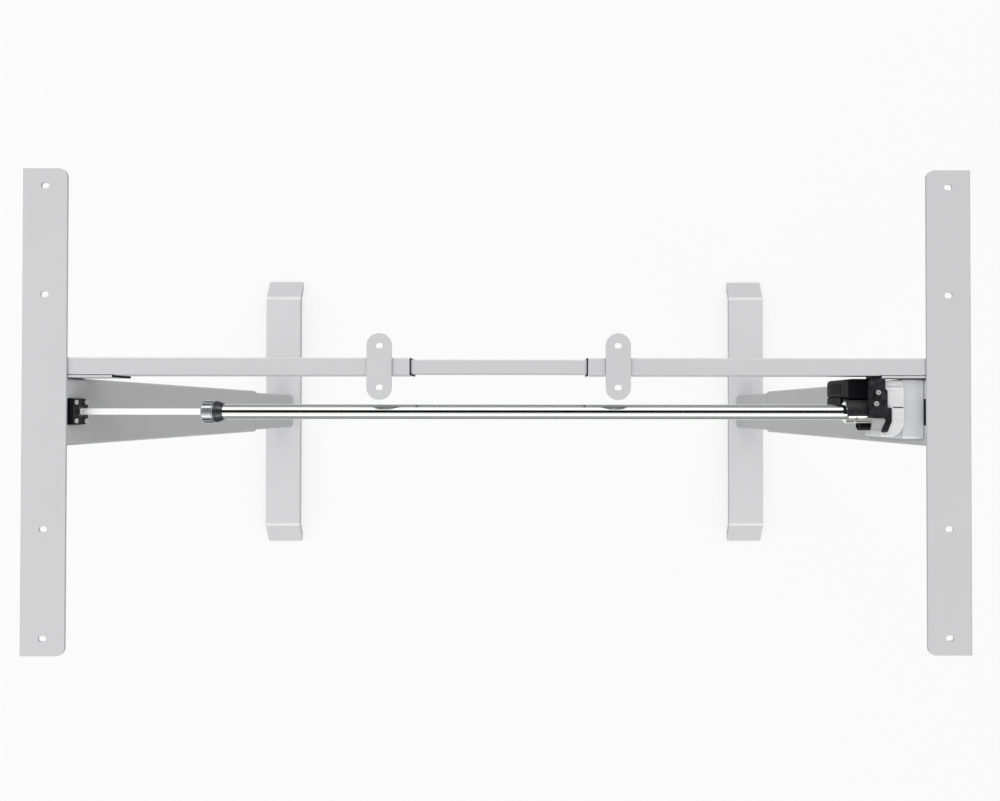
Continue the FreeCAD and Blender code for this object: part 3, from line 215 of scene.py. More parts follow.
def pick_edges(test):
    """Select the edges of the mesh in edit mode that pass test(first end, second end)."""
    bpy.ops.mesh.select_mode(type="EDGE")
    bpy.ops.mesh.select_all(action="DESELECT")
    form = bmesh.from_edit_mesh(bpy.context.edit_object.data)
    for edge in form.edges:
        edge.select_set(bool(test(edge.verts[0].co, edge.verts[1].co)))
    bmesh.update_edit_mesh(bpy.context.edit_object.data)


def push(value):
    """Extrude the selected faces by a vector."""
    bpy.ops.mesh.extrude_region_move(TRANSFORM_OT_translate={"value": tuple(value)})


def apply_place(piece):
    """Put the object's place into its mesh, so that the object sits at the origin."""
    work_on(piece)
    bpy.ops.object.transform_apply(location=True, rotation=True, scale=True)


def shade(piece):
    """Shade smooth up to an angle, with the normals led by the large faces so that flat stays flat."""
    work_on(piece)
    bpy.ops.object.shade_smooth_by_angle(angle=math.radians(SMOOTH_ANGLE))
    even = piece.modifiers.new("even_normals", "WEIGHTED_NORMAL")
    even.weight = 50
    even.keep_sharp = True
    bpy.ops.object.modifier_apply(modifier=even.name)


def soften(piece, width, segments=2, angle=30):
    """Round every edge sharper than angle and shade the rest smooth."""
    work_on(piece)
    bevel = piece.modifiers.new("edge_round", "BEVEL")
    bevel.width = width
    bevel.segments = segments
    bevel.limit_method = "ANGLE"
    bevel.angle_limit = math.radians(angle)
    bevel.use_clamp_overlap = True
    bevel.miter_outer = "MITER_ARC"
    bpy.ops.object.modifier_apply(modifier=bevel.name)
    shade(piece)


def joined(pieces, name):
    """Join several objects into one."""
    deselect_all()
    for piece in pieces:
        piece.select_set(True)
    bpy.context.view_layer.objects.active = pieces[0]
    if len(pieces) > 1:
        bpy.ops.object.join()
    pieces[0].name = name
    return pieces[0]


def settle(piece, *nodes):
    """Give a finished piece its finish, its body and the CAD nodes that it stands for."""
    slot = SLOT_OF[nodes[0]]
    piece.data.materials.clear()
    piece.data.materials.append(FINISHES[slot])
    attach(piece, BODY_OF[nodes[0]])
    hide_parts(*nodes)
    return piece


def add_block(name, low, high):
    """A box from its lowest to its highest corner, ready to be shaped."""
    deselect_all()
    low, high = Vector(low), Vector(high)
    bpy.ops.mesh.primitive_cube_add(size=1, location=(low + high) / 2)
    piece = bpy.context.active_object
    piece.name = name
    piece.scale = high - low
    apply_place(piece)
    return piece


def turned(name, axis, centre, profile, steps):
    """A turned form: a disc extruded along axis and resized, step by step.

    profile is a list of (place along axis, radius); centre gives the other two coordinates."""
    deselect_all()
    start, radius = profile[0]
    along = Vector(axis)
    origin = Vector(centre) - along * Vector(centre).dot(along)
    turn = along.to_track_quat("Z", "Y").to_euler()
    bpy.ops.mesh.primitive_circle_add(
        vertices=steps, radius=radius, fill_type="NGON", location=origin + along * start, rotation=turn)
    piece = bpy.context.active_object
    piece.name = name
    apply_place(piece)
    edit_all()
    for place, wide in profile[1:]:
        push(along * (place - start))
        if abs(wide - radius) > 1e-9:
            factor = wide / radius
            bpy.ops.transform.resize(
                value=(factor, factor, factor), center_override=tuple(origin + along * place))
        start, radius = place, wide
    bpy.ops.mesh.select_all(action="SELECT")
    bpy.ops.mesh.normals_make_consistent(inside=False)
    stop_edit()
    return piece


def finished_copy(node, width, segments=2, finish=None):
    """A merged copy of a CAD node with its edges rounded, which stands for the node.

    finish names a finish that isn't the one of the node's slot."""
    source = frame["nodes"][node]
    piece = bpy.data.objects.new(node + "_finish", source.data.copy())
    bpy.context.scene.collection.objects.link(piece)
    work_on(piece)
    edit_all()
    bpy.ops.mesh.remove_doubles(threshold=2e-6)
    bpy.ops.mesh.dissolve_limited(angle_limit=math.radians(0.5))
    stop_edit()
    if width > 0:
        soften(piece, width, segments)
    else:
        shade(piece)
    settle(piece, node)
    if finish:
        piece.data.materials[0] = FINISHES[finish]
    return piece


# ---------------------------------------------------------------- shared surface effects
def new_group(name, inputs, outputs):
    """An empty shader group with named inputs (name, kind, default) and outputs (name, kind)."""
    group = bpy.data.node_groups.new(name, "ShaderNodeTree")
    for label, kind, default in inputs:
        socket = group.interface.new_socket(name=label, in_out="INPUT", socket_type=kind)
        if default is not None:
            socket.default_value = default
    for label, kind in outputs:
        group.interface.new_socket(name=label, in_out="OUTPUT", socket_type=kind)
    start = group.nodes.new("NodeGroupInput")
    end = group.nodes.new("NodeGroupOutput")
    return group, start, end


def add_math(tree, operation, first, second, third=None):
    """A Math node; each operand is a socket or a number."""
    node = tree.nodes.new("ShaderNodeMath")
    node.operation = operation
    for slot, value in enumerate((first, second, third)):
        if value is None:
            continue
        if isinstance(value, (int, float)):
            node.inputs[slot].default_value = value
        else:
            tree.links.new(value, node.inputs[slot])
    return node.outputs[0]


def add_noise(tree, vector, scale, detail, roughness):
    """A noise pattern; its scale is a socket or a number."""
    node = tree.nodes.new("ShaderNodeTexNoise")
    node.inputs["Detail"].default_value = detail
    node.inputs["Roughness"].default_value = roughness
    tree.links.new(vector, node.inputs["Vector"])
    if isinstance(scale, (int, float)):
        node.inputs["Scale"].default_value = scale
    else:
        tree.links.new(scale, node.inputs["Scale"])
    return node.outputs["Fac"]


def add_range(tree, value, from_low, from_high, to_low, to_high):
    """A Map Range node; each limit is a socket or a number."""
    node = tree.nodes.new("ShaderNodeMapRange")
    tree.links.new(value, node.inputs["Value"])
    limits = {"From Min": from_low, "From Max": from_high, "To Min": to_low, "To Max": to_high}
    for label, number in limits.items():
        if isinstance(number, (int, float)):
            node.inputs[label].default_value = number
        else:
            tree.links.new(number, node.inputs[label])
    return node.outputs["Result"]


def add_colour_mix(tree, factor, first, second):
    """Mix two colours; each of them is a socket or three numbers."""
    mix = tree.nodes.new("ShaderNodeMix")
    mix.data_type = "RGBA"
    tree.links.new(factor, mix.inputs[0])
    for socket, value in zip([each for each in mix.inputs if each.type == "RGBA"], (first, second)):
        if isinstance(value, tuple):
            socket.default_value = (*value, 1.0)
        else:
            tree.links.new(value, socket)
    return [socket for socket in mix.outputs if socket.type == "RGBA"][0]


def build_grain_group():
    """Fine surface grain: a height for bump and a mask that varies slowly."""
    group, start, end = new_group(
        "surface_grain",
        [("Fine Scale", "NodeSocketFloat", 900.0), ("Broad Scale", "NodeSocketFloat", 9.0)],
        [("Height", "NodeSocketFloat"), ("Mottle", "NodeSocketFloat")])
    place = group.nodes.new("ShaderNodeTexCoord").outputs["Object"]
    fine = add_noise(group, place, start.outputs["Fine Scale"], 3.0, 0.6)
    broad = add_noise(group, place, start.outputs["Broad Scale"], 4.0, 0.55)
    group.links.new(fine, end.inputs["Height"])
    group.links.new(broad, end.inputs["Mottle"])
    return group


def build_streak_group():
    """Fine lines drawn along one axis, as left by drawing, turning or brushing."""
    group, start, end = new_group(
        "drawn_streaks",
        [("Stretch", "NodeSocketVector", (1.0, 60.0, 60.0)), ("Scale", "NodeSocketFloat", 12.0)],
        [("Height", "NodeSocketFloat"), ("Smudge", "NodeSocketFloat")])
    place = group.nodes.new("ShaderNodeTexCoord").outputs["Object"]
    multiply = group.nodes.new("ShaderNodeVectorMath")
    multiply.operation = "MULTIPLY"
    group.links.new(place, multiply.inputs[0])
    group.links.new(start.outputs["Stretch"], multiply.inputs[1])
    lines = add_noise(group, multiply.outputs["Vector"], start.outputs["Scale"], 4.0, 0.6)
    smudge = add_noise(group, place, 22.0, 5.0, 0.6)
    group.links.new(lines, end.inputs["Height"])
    group.links.new(smudge, end.inputs["Smudge"])
    return group


def build_tone_group():
    """A colour that varies a little over the surface, with dust on what faces up."""
    group, start, end = new_group(
        "tone_and_dust",
        [("Color", "NodeSocketColor", (0.5, 0.5, 0.5, 1.0)), ("Mask", "NodeSocketFloat", 0.5),
         ("Variation", "NodeSocketFloat", 0.04), ("Dust", "NodeSocketFloat", 0.05)],
        [("Color", "NodeSocketColor")])
    spread = add_math(group, "SUBTRACT", start.outputs["Mask"], 0.5)
    change = add_math(group, "MULTIPLY_ADD", spread, start.outputs["Variation"], 1.0)
    scaled = group.nodes.new("ShaderNodeVectorMath")
    scaled.operation = "SCALE"
    group.links.new(start.outputs["Color"], scaled.inputs[0])
    group.links.new(change, scaled.inputs["Scale"])
    facing = group.nodes.new("ShaderNodeSeparateXYZ")
    group.links.new(group.nodes.new("ShaderNodeNewGeometry").outputs["Normal"], facing.inputs[0])
    upward = add_range(group, facing.outputs["Z"], 0.5, 1.0, 0.0, start.outputs["Dust"])
    patches = add_math(group, "MULTIPLY", upward, start.outputs["Mask"])
    group.links.new(add_colour_mix(group, patches, scaled.outputs["Vector"], DUST), end.inputs["Color"])
    return group


def build_edge_highlight_group():
    """A mask for painted edge highlights: 1 on rounded edges that lean towards a direction."""
    group, start, end = new_group(
        "edge_highlight_line", [("Toward", "NodeSocketVector", UP)], [("Mask", "NodeSocketFloat")])
    normal = group.nodes.new("ShaderNodeNewGeometry").outputs["Normal"]
    parts = group.nodes.new("ShaderNodeSeparateXYZ")
    group.links.new(normal, parts.inputs[0])
    above = add_range(group, parts.outputs["Z"], *LEAN_STARTS, 0.0, 1.0)
    below = add_range(group, parts.outputs["Z"], *LEVEL_STARTS, 0.0, 1.0)
    lean = group.nodes.new("ShaderNodeVectorMath")
    lean.operation = "DOT_PRODUCT"
    group.links.new(normal, lean.inputs[0])
    group.links.new(start.outputs["Toward"], lean.inputs[1])
    facing = add_range(group, lean.outputs["Value"], *LEAN_STARTS, 0.0, 1.0)
    mask = add_math(group, "MULTIPLY", add_math(group, "MULTIPLY", above, below), facing)
    group.links.new(mask, end.inputs["Mask"])
    return group


def build_recess_shade_group():
    """A mask for painted shade: 1 in grooves and close gaps, where shade falls."""
    group, start, end = new_group(
        "recess_shade", [("Reach", "NodeSocketFloat", 0.003)], [("Mask", "NodeSocketFloat")])
    closeness = group.nodes.new("ShaderNodeAmbientOcclusion")
    closeness.samples = 16
    group.links.new(start.outputs["Reach"], closeness.inputs["Distance"])
    group.links.new(add_range(group, closeness.outputs["AO"], *SHADE_STARTS, 0.0, 1.0), end.inputs["Mask"])
    return group


def build_fold_highlight_group():
    """A mask for a painted highlight: 1 along the two bends across a foot, at one distance from the x axis.
    """
    group, start, end = new_group(
        "fold_highlight_line", [("Place", "NodeSocketFloat", FOOT_BEND), ("Half Width", "NodeSocketFloat", 0.003)],
        [("Mask", "NodeSocketFloat")])
    parts = group.nodes.new("ShaderNodeSeparateXYZ")
    group.links.new(group.nodes.new("ShaderNodeTexCoord").outputs["Object"], parts.inputs[0])
    out = add_math(group, "ABSOLUTE", parts.outputs["Y"], 0.0)
    away = add_math(group, "ABSOLUTE", add_math(group, "SUBTRACT", out, start.outputs["Place"]), 0.0)
    group.links.new(add_range(group, away, start.outputs["Half Width"], 0.0, 0.0, 1.0), end.inputs["Mask"])
    return group


GROUPS = {}
FINISHES = {}


def place_group(tree, kind, **values):
    """Put one of the shared effects into a material, with its own values."""
    node = tree.nodes.new("ShaderNodeGroup")
    node.node_tree = GROUPS[kind]
    for label, value in values.items():
        socket = node.inputs[label.replace("_", " ")]
        if isinstance(value, bpy.types.NodeSocket):
            tree.links.new(value, socket)
        else:
            socket.default_value = value
    return node


# ---------------------------------------------------------------- finishes
def start_finish(name, metallic, specular=0.5):
    """A new material with a bare Principled shader, listed under its name."""
    finish = bpy.data.materials.new(name)
    finish.use_nodes = True
    FINISHES[name] = finish
    tree = finish.node_tree
    shader = tree.nodes["Principled BSDF"]
    shader.inputs["Metallic"].default_value = metallic
    shader.inputs["Specular IOR Level"].default_value = specular
    return tree, shader


def add_tint(tree, shown, tint, kind, **values):
    """Lay a colour over another one where a shared effect's mask says so."""
    return add_colour_mix(tree, place_group(tree, kind, **values).outputs["Mask"], shown, tint)


def link_shader(tree, shader, shown, gloss, height, bump, depth):
    """Give the shader its colour, its roughness and its bump."""
    relief = tree.nodes.new("ShaderNodeBump")
    relief.inputs["Strength"].default_value = bump
    relief.inputs["Distance"].default_value = depth
    tree.links.new(height, relief.inputs["Height"])
    tree.links.new(shown, shader.inputs["Base Color"])
    tree.links.new(gloss, shader.inputs["Roughness"])
    tree.links.new(relief.outputs["Normal"], shader.inputs["Normal"])


def grained_finish(name, colour, rough, metallic=0.0, fine=900.0, broad=9.0, variation=0.05, dust=0.04,
                   bump=0.25, depth=0.00008, specular=0.5, edge=None, toward=UP, recess=None, shade_tone=RECESS_SHADE,
                   fold_highlight=None):
    """A cast, moulded or coated surface: fine grain in the bump, a slow drift in colour and gloss."""
    tree, shader = start_finish(name, metallic, specular)
    grain = place_group(tree, "grain", Fine_Scale=fine, Broad_Scale=broad)
    tone = place_group(tree, "tone", Color=(*colour, 1.0), Mask=grain.outputs["Mottle"],
                       Variation=variation, Dust=dust)
    shown = tone.outputs["Color"]
    # painted highlight: the lighter edge colour is laid on rounded edges that lean towards toward
    if edge:
        shown = add_tint(tree, shown, edge, "edge", Toward=toward)
    # painted highlight: a white line along each bend across a foot
    if fold_highlight:
        shown = add_tint(tree, shown, WHITE, "fold_highlight", Place=fold_highlight, Half_Width=FOLD_HIGHLIGHT_HALF_WIDTH)
    # painted shade: the darker colour is laid in grooves and close gaps
    if recess:
        shown = add_tint(tree, shown, shade_tone, "recess", Reach=recess)
    gloss = add_range(tree, grain.outputs["Mottle"], 0.3, 0.7, rough - 0.04, rough + 0.05)
    link_shader(tree, shader, shown, gloss, grain.outputs["Height"], bump, depth)


def drawn_finish(name, colour, rough, stretch, scale=12.0, spread=0.06, bump=0.12, depth=0.00004,
                 variation=0.06, metallic=1.0, recess=None):
    """Bare or plated metal with fine lines along one direction and faint smudges in its gloss."""
    tree, shader = start_finish(name, metallic)
    streaks = place_group(tree, "streaks", Stretch=stretch, Scale=scale)
    tone = place_group(tree, "tone", Color=(*colour, 1.0), Mask=streaks.outputs["Height"],
                       Variation=variation, Dust=0.0)
    shown = tone.outputs["Color"]
    # painted shade: the darker colour is laid in grooves and close gaps
    if recess:
        shown = add_tint(tree, shown, RECESS_SHADE, "recess", Reach=recess)
    gloss = add_range(tree, streaks.outputs["Smudge"], 0.35, 0.7, rough, rough + spread)
    link_shader(tree, shader, shown, gloss, streaks.outputs["Height"], bump, depth)


def times(share, colour):
    """A colour made lighter or darker by a share."""
    return tuple(share * part for part in colour)


def build_finishes(colours):
    """One finish for each material slot of the record, and four more: lighter copies of the powder coat and
    the cast aluminium that stand in for more light on the feet and the worm case, a patchy black whose light
    patches are painted sheen on the lid, and a dark metal for the collet sleeve.
    """
    GROUPS["grain"] = build_grain_group()
    GROUPS["streaks"] = build_streak_group()
    GROUPS["tone"] = build_tone_group()
    GROUPS["edge"] = build_edge_highlight_group()
    GROUPS["recess"] = build_recess_shade_group()
    GROUPS["fold_highlight"] = build_fold_highlight_group()
    # the coat's recess values paint a grey shade into grooves and at contacts between parts
    coat_values = {"fine": 1400.0, "broad": 5.0, "variation": 0.05, "bump": 0.22, "depth": 0.00006,
                   "recess": 3.0 * MM, "shade_tone": (0.26, 0.26, 0.27)}
    # painted highlight: rounded edges leaning backwards are lightened nearly to white
    grained_finish("powder_coat", colours.coat, 0.42, edge=(0.95, 0.95, 0.96), toward=BACK, **coat_values)
    # the feet's coat is the powder coat made lighter to stand in for more light on them, with a painted
    # white highlight along each bend
    grained_finish("foot_coat_lit", times(1.17, colours.coat), 0.42, fold_highlight=FOOT_BEND, **coat_values)
    # painted highlight: lighter grey along rounded edges that lean upwards
    grained_finish(
        "black_paint", colours.black, 0.38, fine=700.0, broad=40.0, variation=0.3, dust=0.0, bump=0.3,
        depth=0.0001, specular=0.09, edge=(0.46, 0.46, 0.47))
    # a lighter black with broad light and dark patches, painted sheen standing in for glossy highlights,
    # with faintly lighter edges as painted highlight and painted shade in recesses
    grained_finish(
        "lid_paint_sheen", (0.024, 0.024, 0.026), 0.36, fine=500.0, broad=140.0, variation=3.0, dust=0.0, bump=0.7,
        depth=0.00012, specular=0.16, edge=(0.05, 0.05, 0.052), recess=2.0 * MM)
    # painted highlight: a barely lighter black along upward-leaning edges
    grained_finish(
        "black_plastic", colours.black, 0.46, fine=1800.0, broad=30.0, variation=0.2, dust=0.0, bump=0.35,
        depth=0.00006, specular=0.06, edge=(0.035, 0.035, 0.037))
    grained_finish("grey_plastic", (0.38, 0.38, 0.39), 0.5, fine=1500.0)
    grained_finish("white_plastic", (0.78, 0.78, 0.75), 0.38, fine=1200.0)
    # painted highlight: near-white along upward-leaning edges; painted shade in recesses
    grained_finish(
        "cast_aluminium", colours.aluminium, 0.34, metallic=0.30, fine=1100.0, broad=25.0,
        variation=0.12, dust=0.0, bump=0.45, depth=0.00012, edge=(0.97, 0.97, 0.97), recess=2.5 * MM)
    # the cast aluminium made lighter and less metallic to stand in for more light on the worm case, with
    # painted white edge highlights and painted shade in recesses
    grained_finish(
        "case_metal_lit", (0.87, 0.87, 0.88), 0.28, metallic=0.12, fine=420.0, broad=60.0,
        variation=0.25, dust=0.0, bump=0.6, depth=0.00012, edge=WHITE, recess=2.5 * MM)
    # painted shade darkens the grooves between the ribs
    grained_finish(
        "nut_metal", times(1.25, colours.nut), 0.26, metallic=0.75, fine=1000.0, broad=60.0,
        variation=0.25, dust=0.0, bump=0.25, recess=3.2 * MM)
    # painted shade in recesses and close gaps
    grained_finish(
        "sleeve_metal", (0.08, 0.085, 0.09), 0.26, metallic=0.8, fine=1000.0, broad=90.0, variation=0.6,
        dust=0.0, bump=0.3, recess=2.5 * MM)
    # painted shade in the screw sockets and recesses
    drawn_finish(
        "zinc_steel", times(0.72, colours.steel), 0.34, EVEN, scale=160.0, variation=0.7,
        bump=0.4, metallic=0.45, recess=1.2 * MM)
    drawn_finish("bright_steel", times(1.06, colours.steel), 0.20, ALONG_X, scale=14.0, metallic=0.35)
    drawn_finish("gear_steel", (0.46, 0.45, 0.44), 0.28, ALONG_Z, scale=10.0)
    drawn_finish("bronze", (0.55, 0.36, 0.16), 0.30, EVEN, scale=60.0)
    drawn_finish(
        "chrome", colours.chrome, 0.10, ALONG_X, scale=10.0, spread=0.04, bump=0.03, variation=0.02)


# ---------------------------------------------------------------- pieces of the drive line
def shaft_line():
    """The height of the drive shaft's axis, which lies over the x axis."""
    low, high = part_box("drive_tube")
    return Vector((0, 0, (low.z + high.z) / 2))


def cut_out(piece, cutter):
    """Cut one form out of another and remove the cutter."""
    work_on(piece)
    trim = piece.modifiers.new("cut_out", "BOOLEAN")
    trim.operation = "DIFFERENCE"
    trim.solver = "EXACT"
    trim.object = cutter
    bpy.ops.object.modifier_apply(modifier=trim.name)
    bpy.data.objects.remove(cutter)


def make_drive_tube(sizes):
    """The long polished tube, open at the end where the hexagon rod slides in."""
    low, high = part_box("drive_tube")
    wall, chamfer, end_wall = 1.5 * MM, 0.4 * MM, 4 * MM
    radius = (high.z - low.z) / 2
    bore = radius - wall
    profile = [(high.x, radius), (low.x + chamfer, radius), (low.x, radius - chamfer), (low.x, bore),
               (high.x - end_wall, bore)]
    piece = turned("drive_tube_polished", X_AXIS, shaft_line(), profile, sizes.round_steps)
    shade(piece)
    return settle(piece, "drive_tube")


def make_hex_rod(sizes):
    """The drawn hexagon rod with a chamfered end and its round journal."""
    low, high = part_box("hex_rod")
    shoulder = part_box("gearbox_cover")[1].x
    radius = (high.z - low.z) / 2
    line = shaft_line()
    tip_length, tip_share, drawn_edge = 1.2 * MM, 0.78, 0.35 * MM
    bar = turned("hex_bar", X_AXIS, line,
                 [(shoulder, radius), (high.x - tip_length, radius), (high.x, radius * tip_share)], 6)
    top = max(bar.data.vertices, key=lambda vertex: vertex.co.z).co
    if abs(top.y) > 0.2 * MM:
        edit_all()
        bpy.ops.transform.rotate(value=math.radians(30), orient_axis="X", center_override=tuple(line))
        stop_edit()
    soften(bar, drawn_edge, 3, 25)
    neck = 0.9 * radius
    journal = turned("rod_journal", X_AXIS, line,
                     [(low.x, neck), (low.x + MM, radius), (shoulder + 0.8 * MM, radius),
                      (shoulder + 1.4 * MM, neck), (shoulder + 2.5 * MM, neck)], 64)
    soften(journal, sizes.fine_edge)
    return settle(joined([bar, journal], "hexagon_rod"), "hex_rod")


def make_clamp_nut(sizes):
    """The ribbed nut: a turned body with its grip faces pushed out into ribs or in into grooves."""
    low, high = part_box("clamp_nut")
    line = shaft_line()
    body = (high.z - low.z) / 2 - sizes.rib_height
    rim, chamfer, groove_depth = 1.6 * MM, 0.6 * MM, 0.6 * MM
    throat_radius, seat_radius, seat_place = 5.3 * MM, 11.1 * MM, 3 * MM
    per_rib = 5
    steps = sizes.nut_ribs * per_rib
    middle = (low.x + high.x) / 2
    profile = [(low.x, body - chamfer), (low.x + chamfer, body), (low.x + rim, body), (high.x - rim, body),
               (high.x - chamfer, body), (high.x, body - chamfer)]
    piece = turned("clamp_nut_ribbed", X_AXIS, line, profile, steps)
    start_edit()

    def on_grip(centre, normal):
        return abs(centre.x - middle) < MM and abs(normal.x) < 0.1

    def on_rib(centre, normal):
        angle = math.atan2(centre.z - line.z, centre.y) / math.tau * steps
        return on_grip(centre, normal) and math.floor(angle) % per_rib != 0

    def in_groove(centre, normal):
        outward = (centre.yz - line.yz).normalized()
        return on_grip(centre, normal) and not on_rib(centre, normal) and abs(outward.dot(normal.yz)) > 0.95

    pick_faces(on_rib)
    bpy.ops.mesh.extrude_region_shrink_fatten(TRANSFORM_OT_shrink_fatten={"value": sizes.rib_height})
    pick_faces(in_groove)
    bpy.ops.mesh.extrude_region_shrink_fatten(TRANSFORM_OT_shrink_fatten={"value": -groove_depth})
    stop_edit()
    throat = turned("nut_throat", X_AXIS, line,
                    [(low.x - MM, throat_radius), (high.x + MM, throat_radius)], 48)
    cut_out(piece, throat)
    seat = turned("nut_seat", X_AXIS, line,
                  [(low.x + seat_place, seat_radius), (high.x + MM, seat_radius)], 64)
    cut_out(piece, seat)
    soften(piece, 0.18 * MM)
    return settle(piece, "clamp_nut")


def make_thread(name, root, crest, pitch, turns):
    """A thread round the z axis: one tooth's outline, wound up turn by turn."""
    deselect_all()
    bpy.ops.mesh.primitive_plane_add(size=MM, location=(root, 0, 0))
    thread = bpy.context.active_object
    thread.name = name
    apply_place(thread)
    start_edit()
    bpy.ops.mesh.select_mode(type="VERT")
    bpy.ops.mesh.select_all(action="SELECT")
    bpy.ops.mesh.merge(type="CENTER")
    place, level = root, 0.0
    for radius, share in ((root, 0.30), (crest, 0.42), (crest, 0.80), (root, 0.92), (root, 1.0)):
        step = (radius - place, 0, share * pitch - level)
        bpy.ops.mesh.extrude_vertices_move(TRANSFORM_OT_translate={"value": step})
        place, level = radius, share * pitch
    stop_edit()
    spin = thread.modifiers.new("thread", "SCREW")
    spin.axis = "Z"
    spin.angle = math.tau
    spin.screw_offset = pitch
    spin.iterations = turns
    spin.steps = spin.render_steps = 20
    bpy.ops.object.modifier_apply(modifier=spin.name)
    edit_all()
    bpy.ops.mesh.remove_doubles(threshold=1e-6)
    bpy.ops.mesh.fill_holes(sides=0)
    bpy.ops.mesh.normals_make_consistent(inside=False)
    stop_edit()
    return thread


def make_lead_screw(side, sizes):
    """The lead screw: one thread turned up its whole length, then its collar and neck."""
    node = "lead_screw_" + side
    low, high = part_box(node)
    bearing_low, bearing_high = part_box("screw_bearing_" + side)
    centre = Vector(((low.x + high.x) / 2, 0, 0))
    crest, end_length, collar_height, gap = 6.0 * MM, 1.0 * MM, 3.2 * MM, 0.2 * MM
    root = crest - sizes.thread_depth
    core_radius = root - 0.05 * MM
    neck = crest - 2 * MM
    pitch = sizes.thread_pitch
    thread_top = bearing_low.z - 3.4 * MM
    turns = int((thread_top - low.z) / pitch) - 1
    thread = make_thread("lead_thread_" + side, root, crest, pitch, turns)
    thread.location = (centre.x, 0, low.z + end_length)
    apply_place(thread)
    bpy.ops.object.shade_smooth_by_angle(angle=math.radians(SMOOTH_ANGLE))
    shank_low = low.z + end_length + turns * pitch
    collar = crest + 1.6 * MM
    collar_low, collar_high = bearing_low.z - collar_height, bearing_low.z - gap
    neck_low = bearing_high.z + gap
    profile = [(low.z, root - MM), (low.z + 0.8 * MM, core_radius), (shank_low, core_radius),
               (shank_low, crest), (collar_low, crest), (collar_low, collar), (collar_high, collar),
               (collar_high, crest), (neck_low, crest), (neck_low, neck), (high.z, neck)]
    core = turned("lead_core_" + side, Z_AXIS, centre, profile, 48)
    soften(core, sizes.fine_edge)
    return settle(joined([core, thread], "lead_screw_threaded_" + side), node)


# ---------------------------------------------------------------- pieces of the motor unit
def hollow_below(wall, depth):
    """Push the lowest faces of the mesh in edit mode up into it, but for a wall round them."""
    pick_faces(lambda centre, normal: normal.z < -0.9)
    bpy.ops.mesh.inset(thickness=wall)
    push((0, 0, depth))


def make_motor_cover(sizes):
    """The moulded cover: a rounded box, hollow below, with side grooves and a shelf under the hub."""
    low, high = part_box("motor_cover")
    wall, roof, corner, moulded_edge = 1.8 * MM, 0.6 * MM, 5 * MM, 0.35 * MM
    front = high.y - 23.5 * MM
    shelf_lap, shelf_top, shelf_hollow = 0.9 * MM, high.z - 24.3 * MM, 30 * MM
    piece = add_block("motor_cover_moulded", (low.x, front, low.z), high)
    start_edit()
    pick_edges(lambda a, b: abs(a.x - low.x) < 1e-6 and abs(b.x - low.x) < 1e-6 and abs(a.z - b.z) > MM)
    bpy.ops.mesh.bevel(offset=corner, segments=8, affect="EDGES")
    hollow_below(wall, high.z - low.z - wall - roof)
    span = (high.z - low.z) / (sizes.vent_count + 5)
    groove = span * 0.42
    for index in range(sizes.vent_count):
        height = low.z + span * (index + 2)
        for level in (height, height + groove):
            bpy.ops.mesh.select_all(action="SELECT")
            bpy.ops.mesh.bisect(plane_co=(0, 0, level), plane_no=(0, 0, 1))
        pick_faces(lambda centre, normal: normal.x < -0.95 and abs(centre.x - low.x) < 1e-5
                   and height < centre.z < height + groove)
        bpy.ops.mesh.inset(thickness=0.5 * MM)
        push((0.8 * MM, 0, 0))
    stop_edit()
    soften(piece, moulded_edge, 3, 40)
    shelf = add_block("motor_cover_shelf", low, (high.x, front + shelf_lap, shelf_top))
    start_edit()
    hollow_below(wall, shelf_hollow)
    stop_edit()
    soften(shelf, moulded_edge, 3, 40)
    return settle(joined([piece, shelf], "motor_cover_moulded"), "motor_cover")


def make_motor_can(sizes):
    """The motor's can with its seams, and the end bell with its boss and screws."""
    low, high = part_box("motor_can")
    centre = (low + high) / 2
    radius = (high.x - low.x) / 2
    inside = radius - 0.5 * MM
    boss = low.z + 1.6 * MM
    profile = [(high.z, radius), (high.z - 4 * MM, radius), (high.z - 4 * MM, inside),
               (high.z - 5 * MM, inside), (high.z - 5 * MM, radius), (low.z + 20 * MM, radius),
               (low.z + 20 * MM, inside), (low.z + 19 * MM, inside), (low.z + 19 * MM, radius),
               (low.z + 4 * MM, radius), (low.z + 2.6 * MM, radius - 0.6 * MM),
               (boss, radius - 2 * MM), (boss, 6 * MM), (low.z, 5.4 * MM)]
    can = turned("motor_body", Z_AXIS, centre, profile, sizes.round_steps)
    soften(can, 0.25 * MM)
    pieces = [can]
    head = [(low.z + 1.8 * MM, 2.2 * MM), (low.z + 0.7 * MM, 2.2 * MM), (low.z + 0.3 * MM, 1.7 * MM),
            (low.z + 0.3 * MM, 0.9 * MM), (low.z + 1.0 * MM, 0.9 * MM)]
    for sign in (-1, 1):
        place = centre + Vector((sign * (radius - 4.9 * MM), 0, 0))
        screw = turned("bell_screw", Z_AXIS, place, head, 24)
        soften(screw, 0.1 * MM)
        pieces.append(screw)
    return settle(joined(pieces, "motor_can_detailed"), "motor_can")


def make_connector():
    """The round-nosed cable socket, with a locking collar and a recess."""
    low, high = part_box("cable_connector")
    radius = (high.z - low.z) / 2
    waist, mouth = radius - 0.7 * MM, radius - 2.8 * MM
    line = (low + high) / 2
    profile = [(high.x, radius), (high.x - 2.4 * MM, radius), (high.x - 2.4 * MM, waist),
               (high.x - 4.0 * MM, waist), (high.x - 4.0 * MM, radius),
               (low.x + 2.4 * MM, radius), (low.x + 0.9 * MM, radius - 0.8 * MM), (low.x, radius - 2.2 * MM),
               (low.x, mouth), (low.x + 8 * MM, mouth)]
    piece = turned("cable_socket", X_AXIS, line, profile, 64)
    soften(piece, 0.2 * MM)
    return settle(piece, "cable_connector")


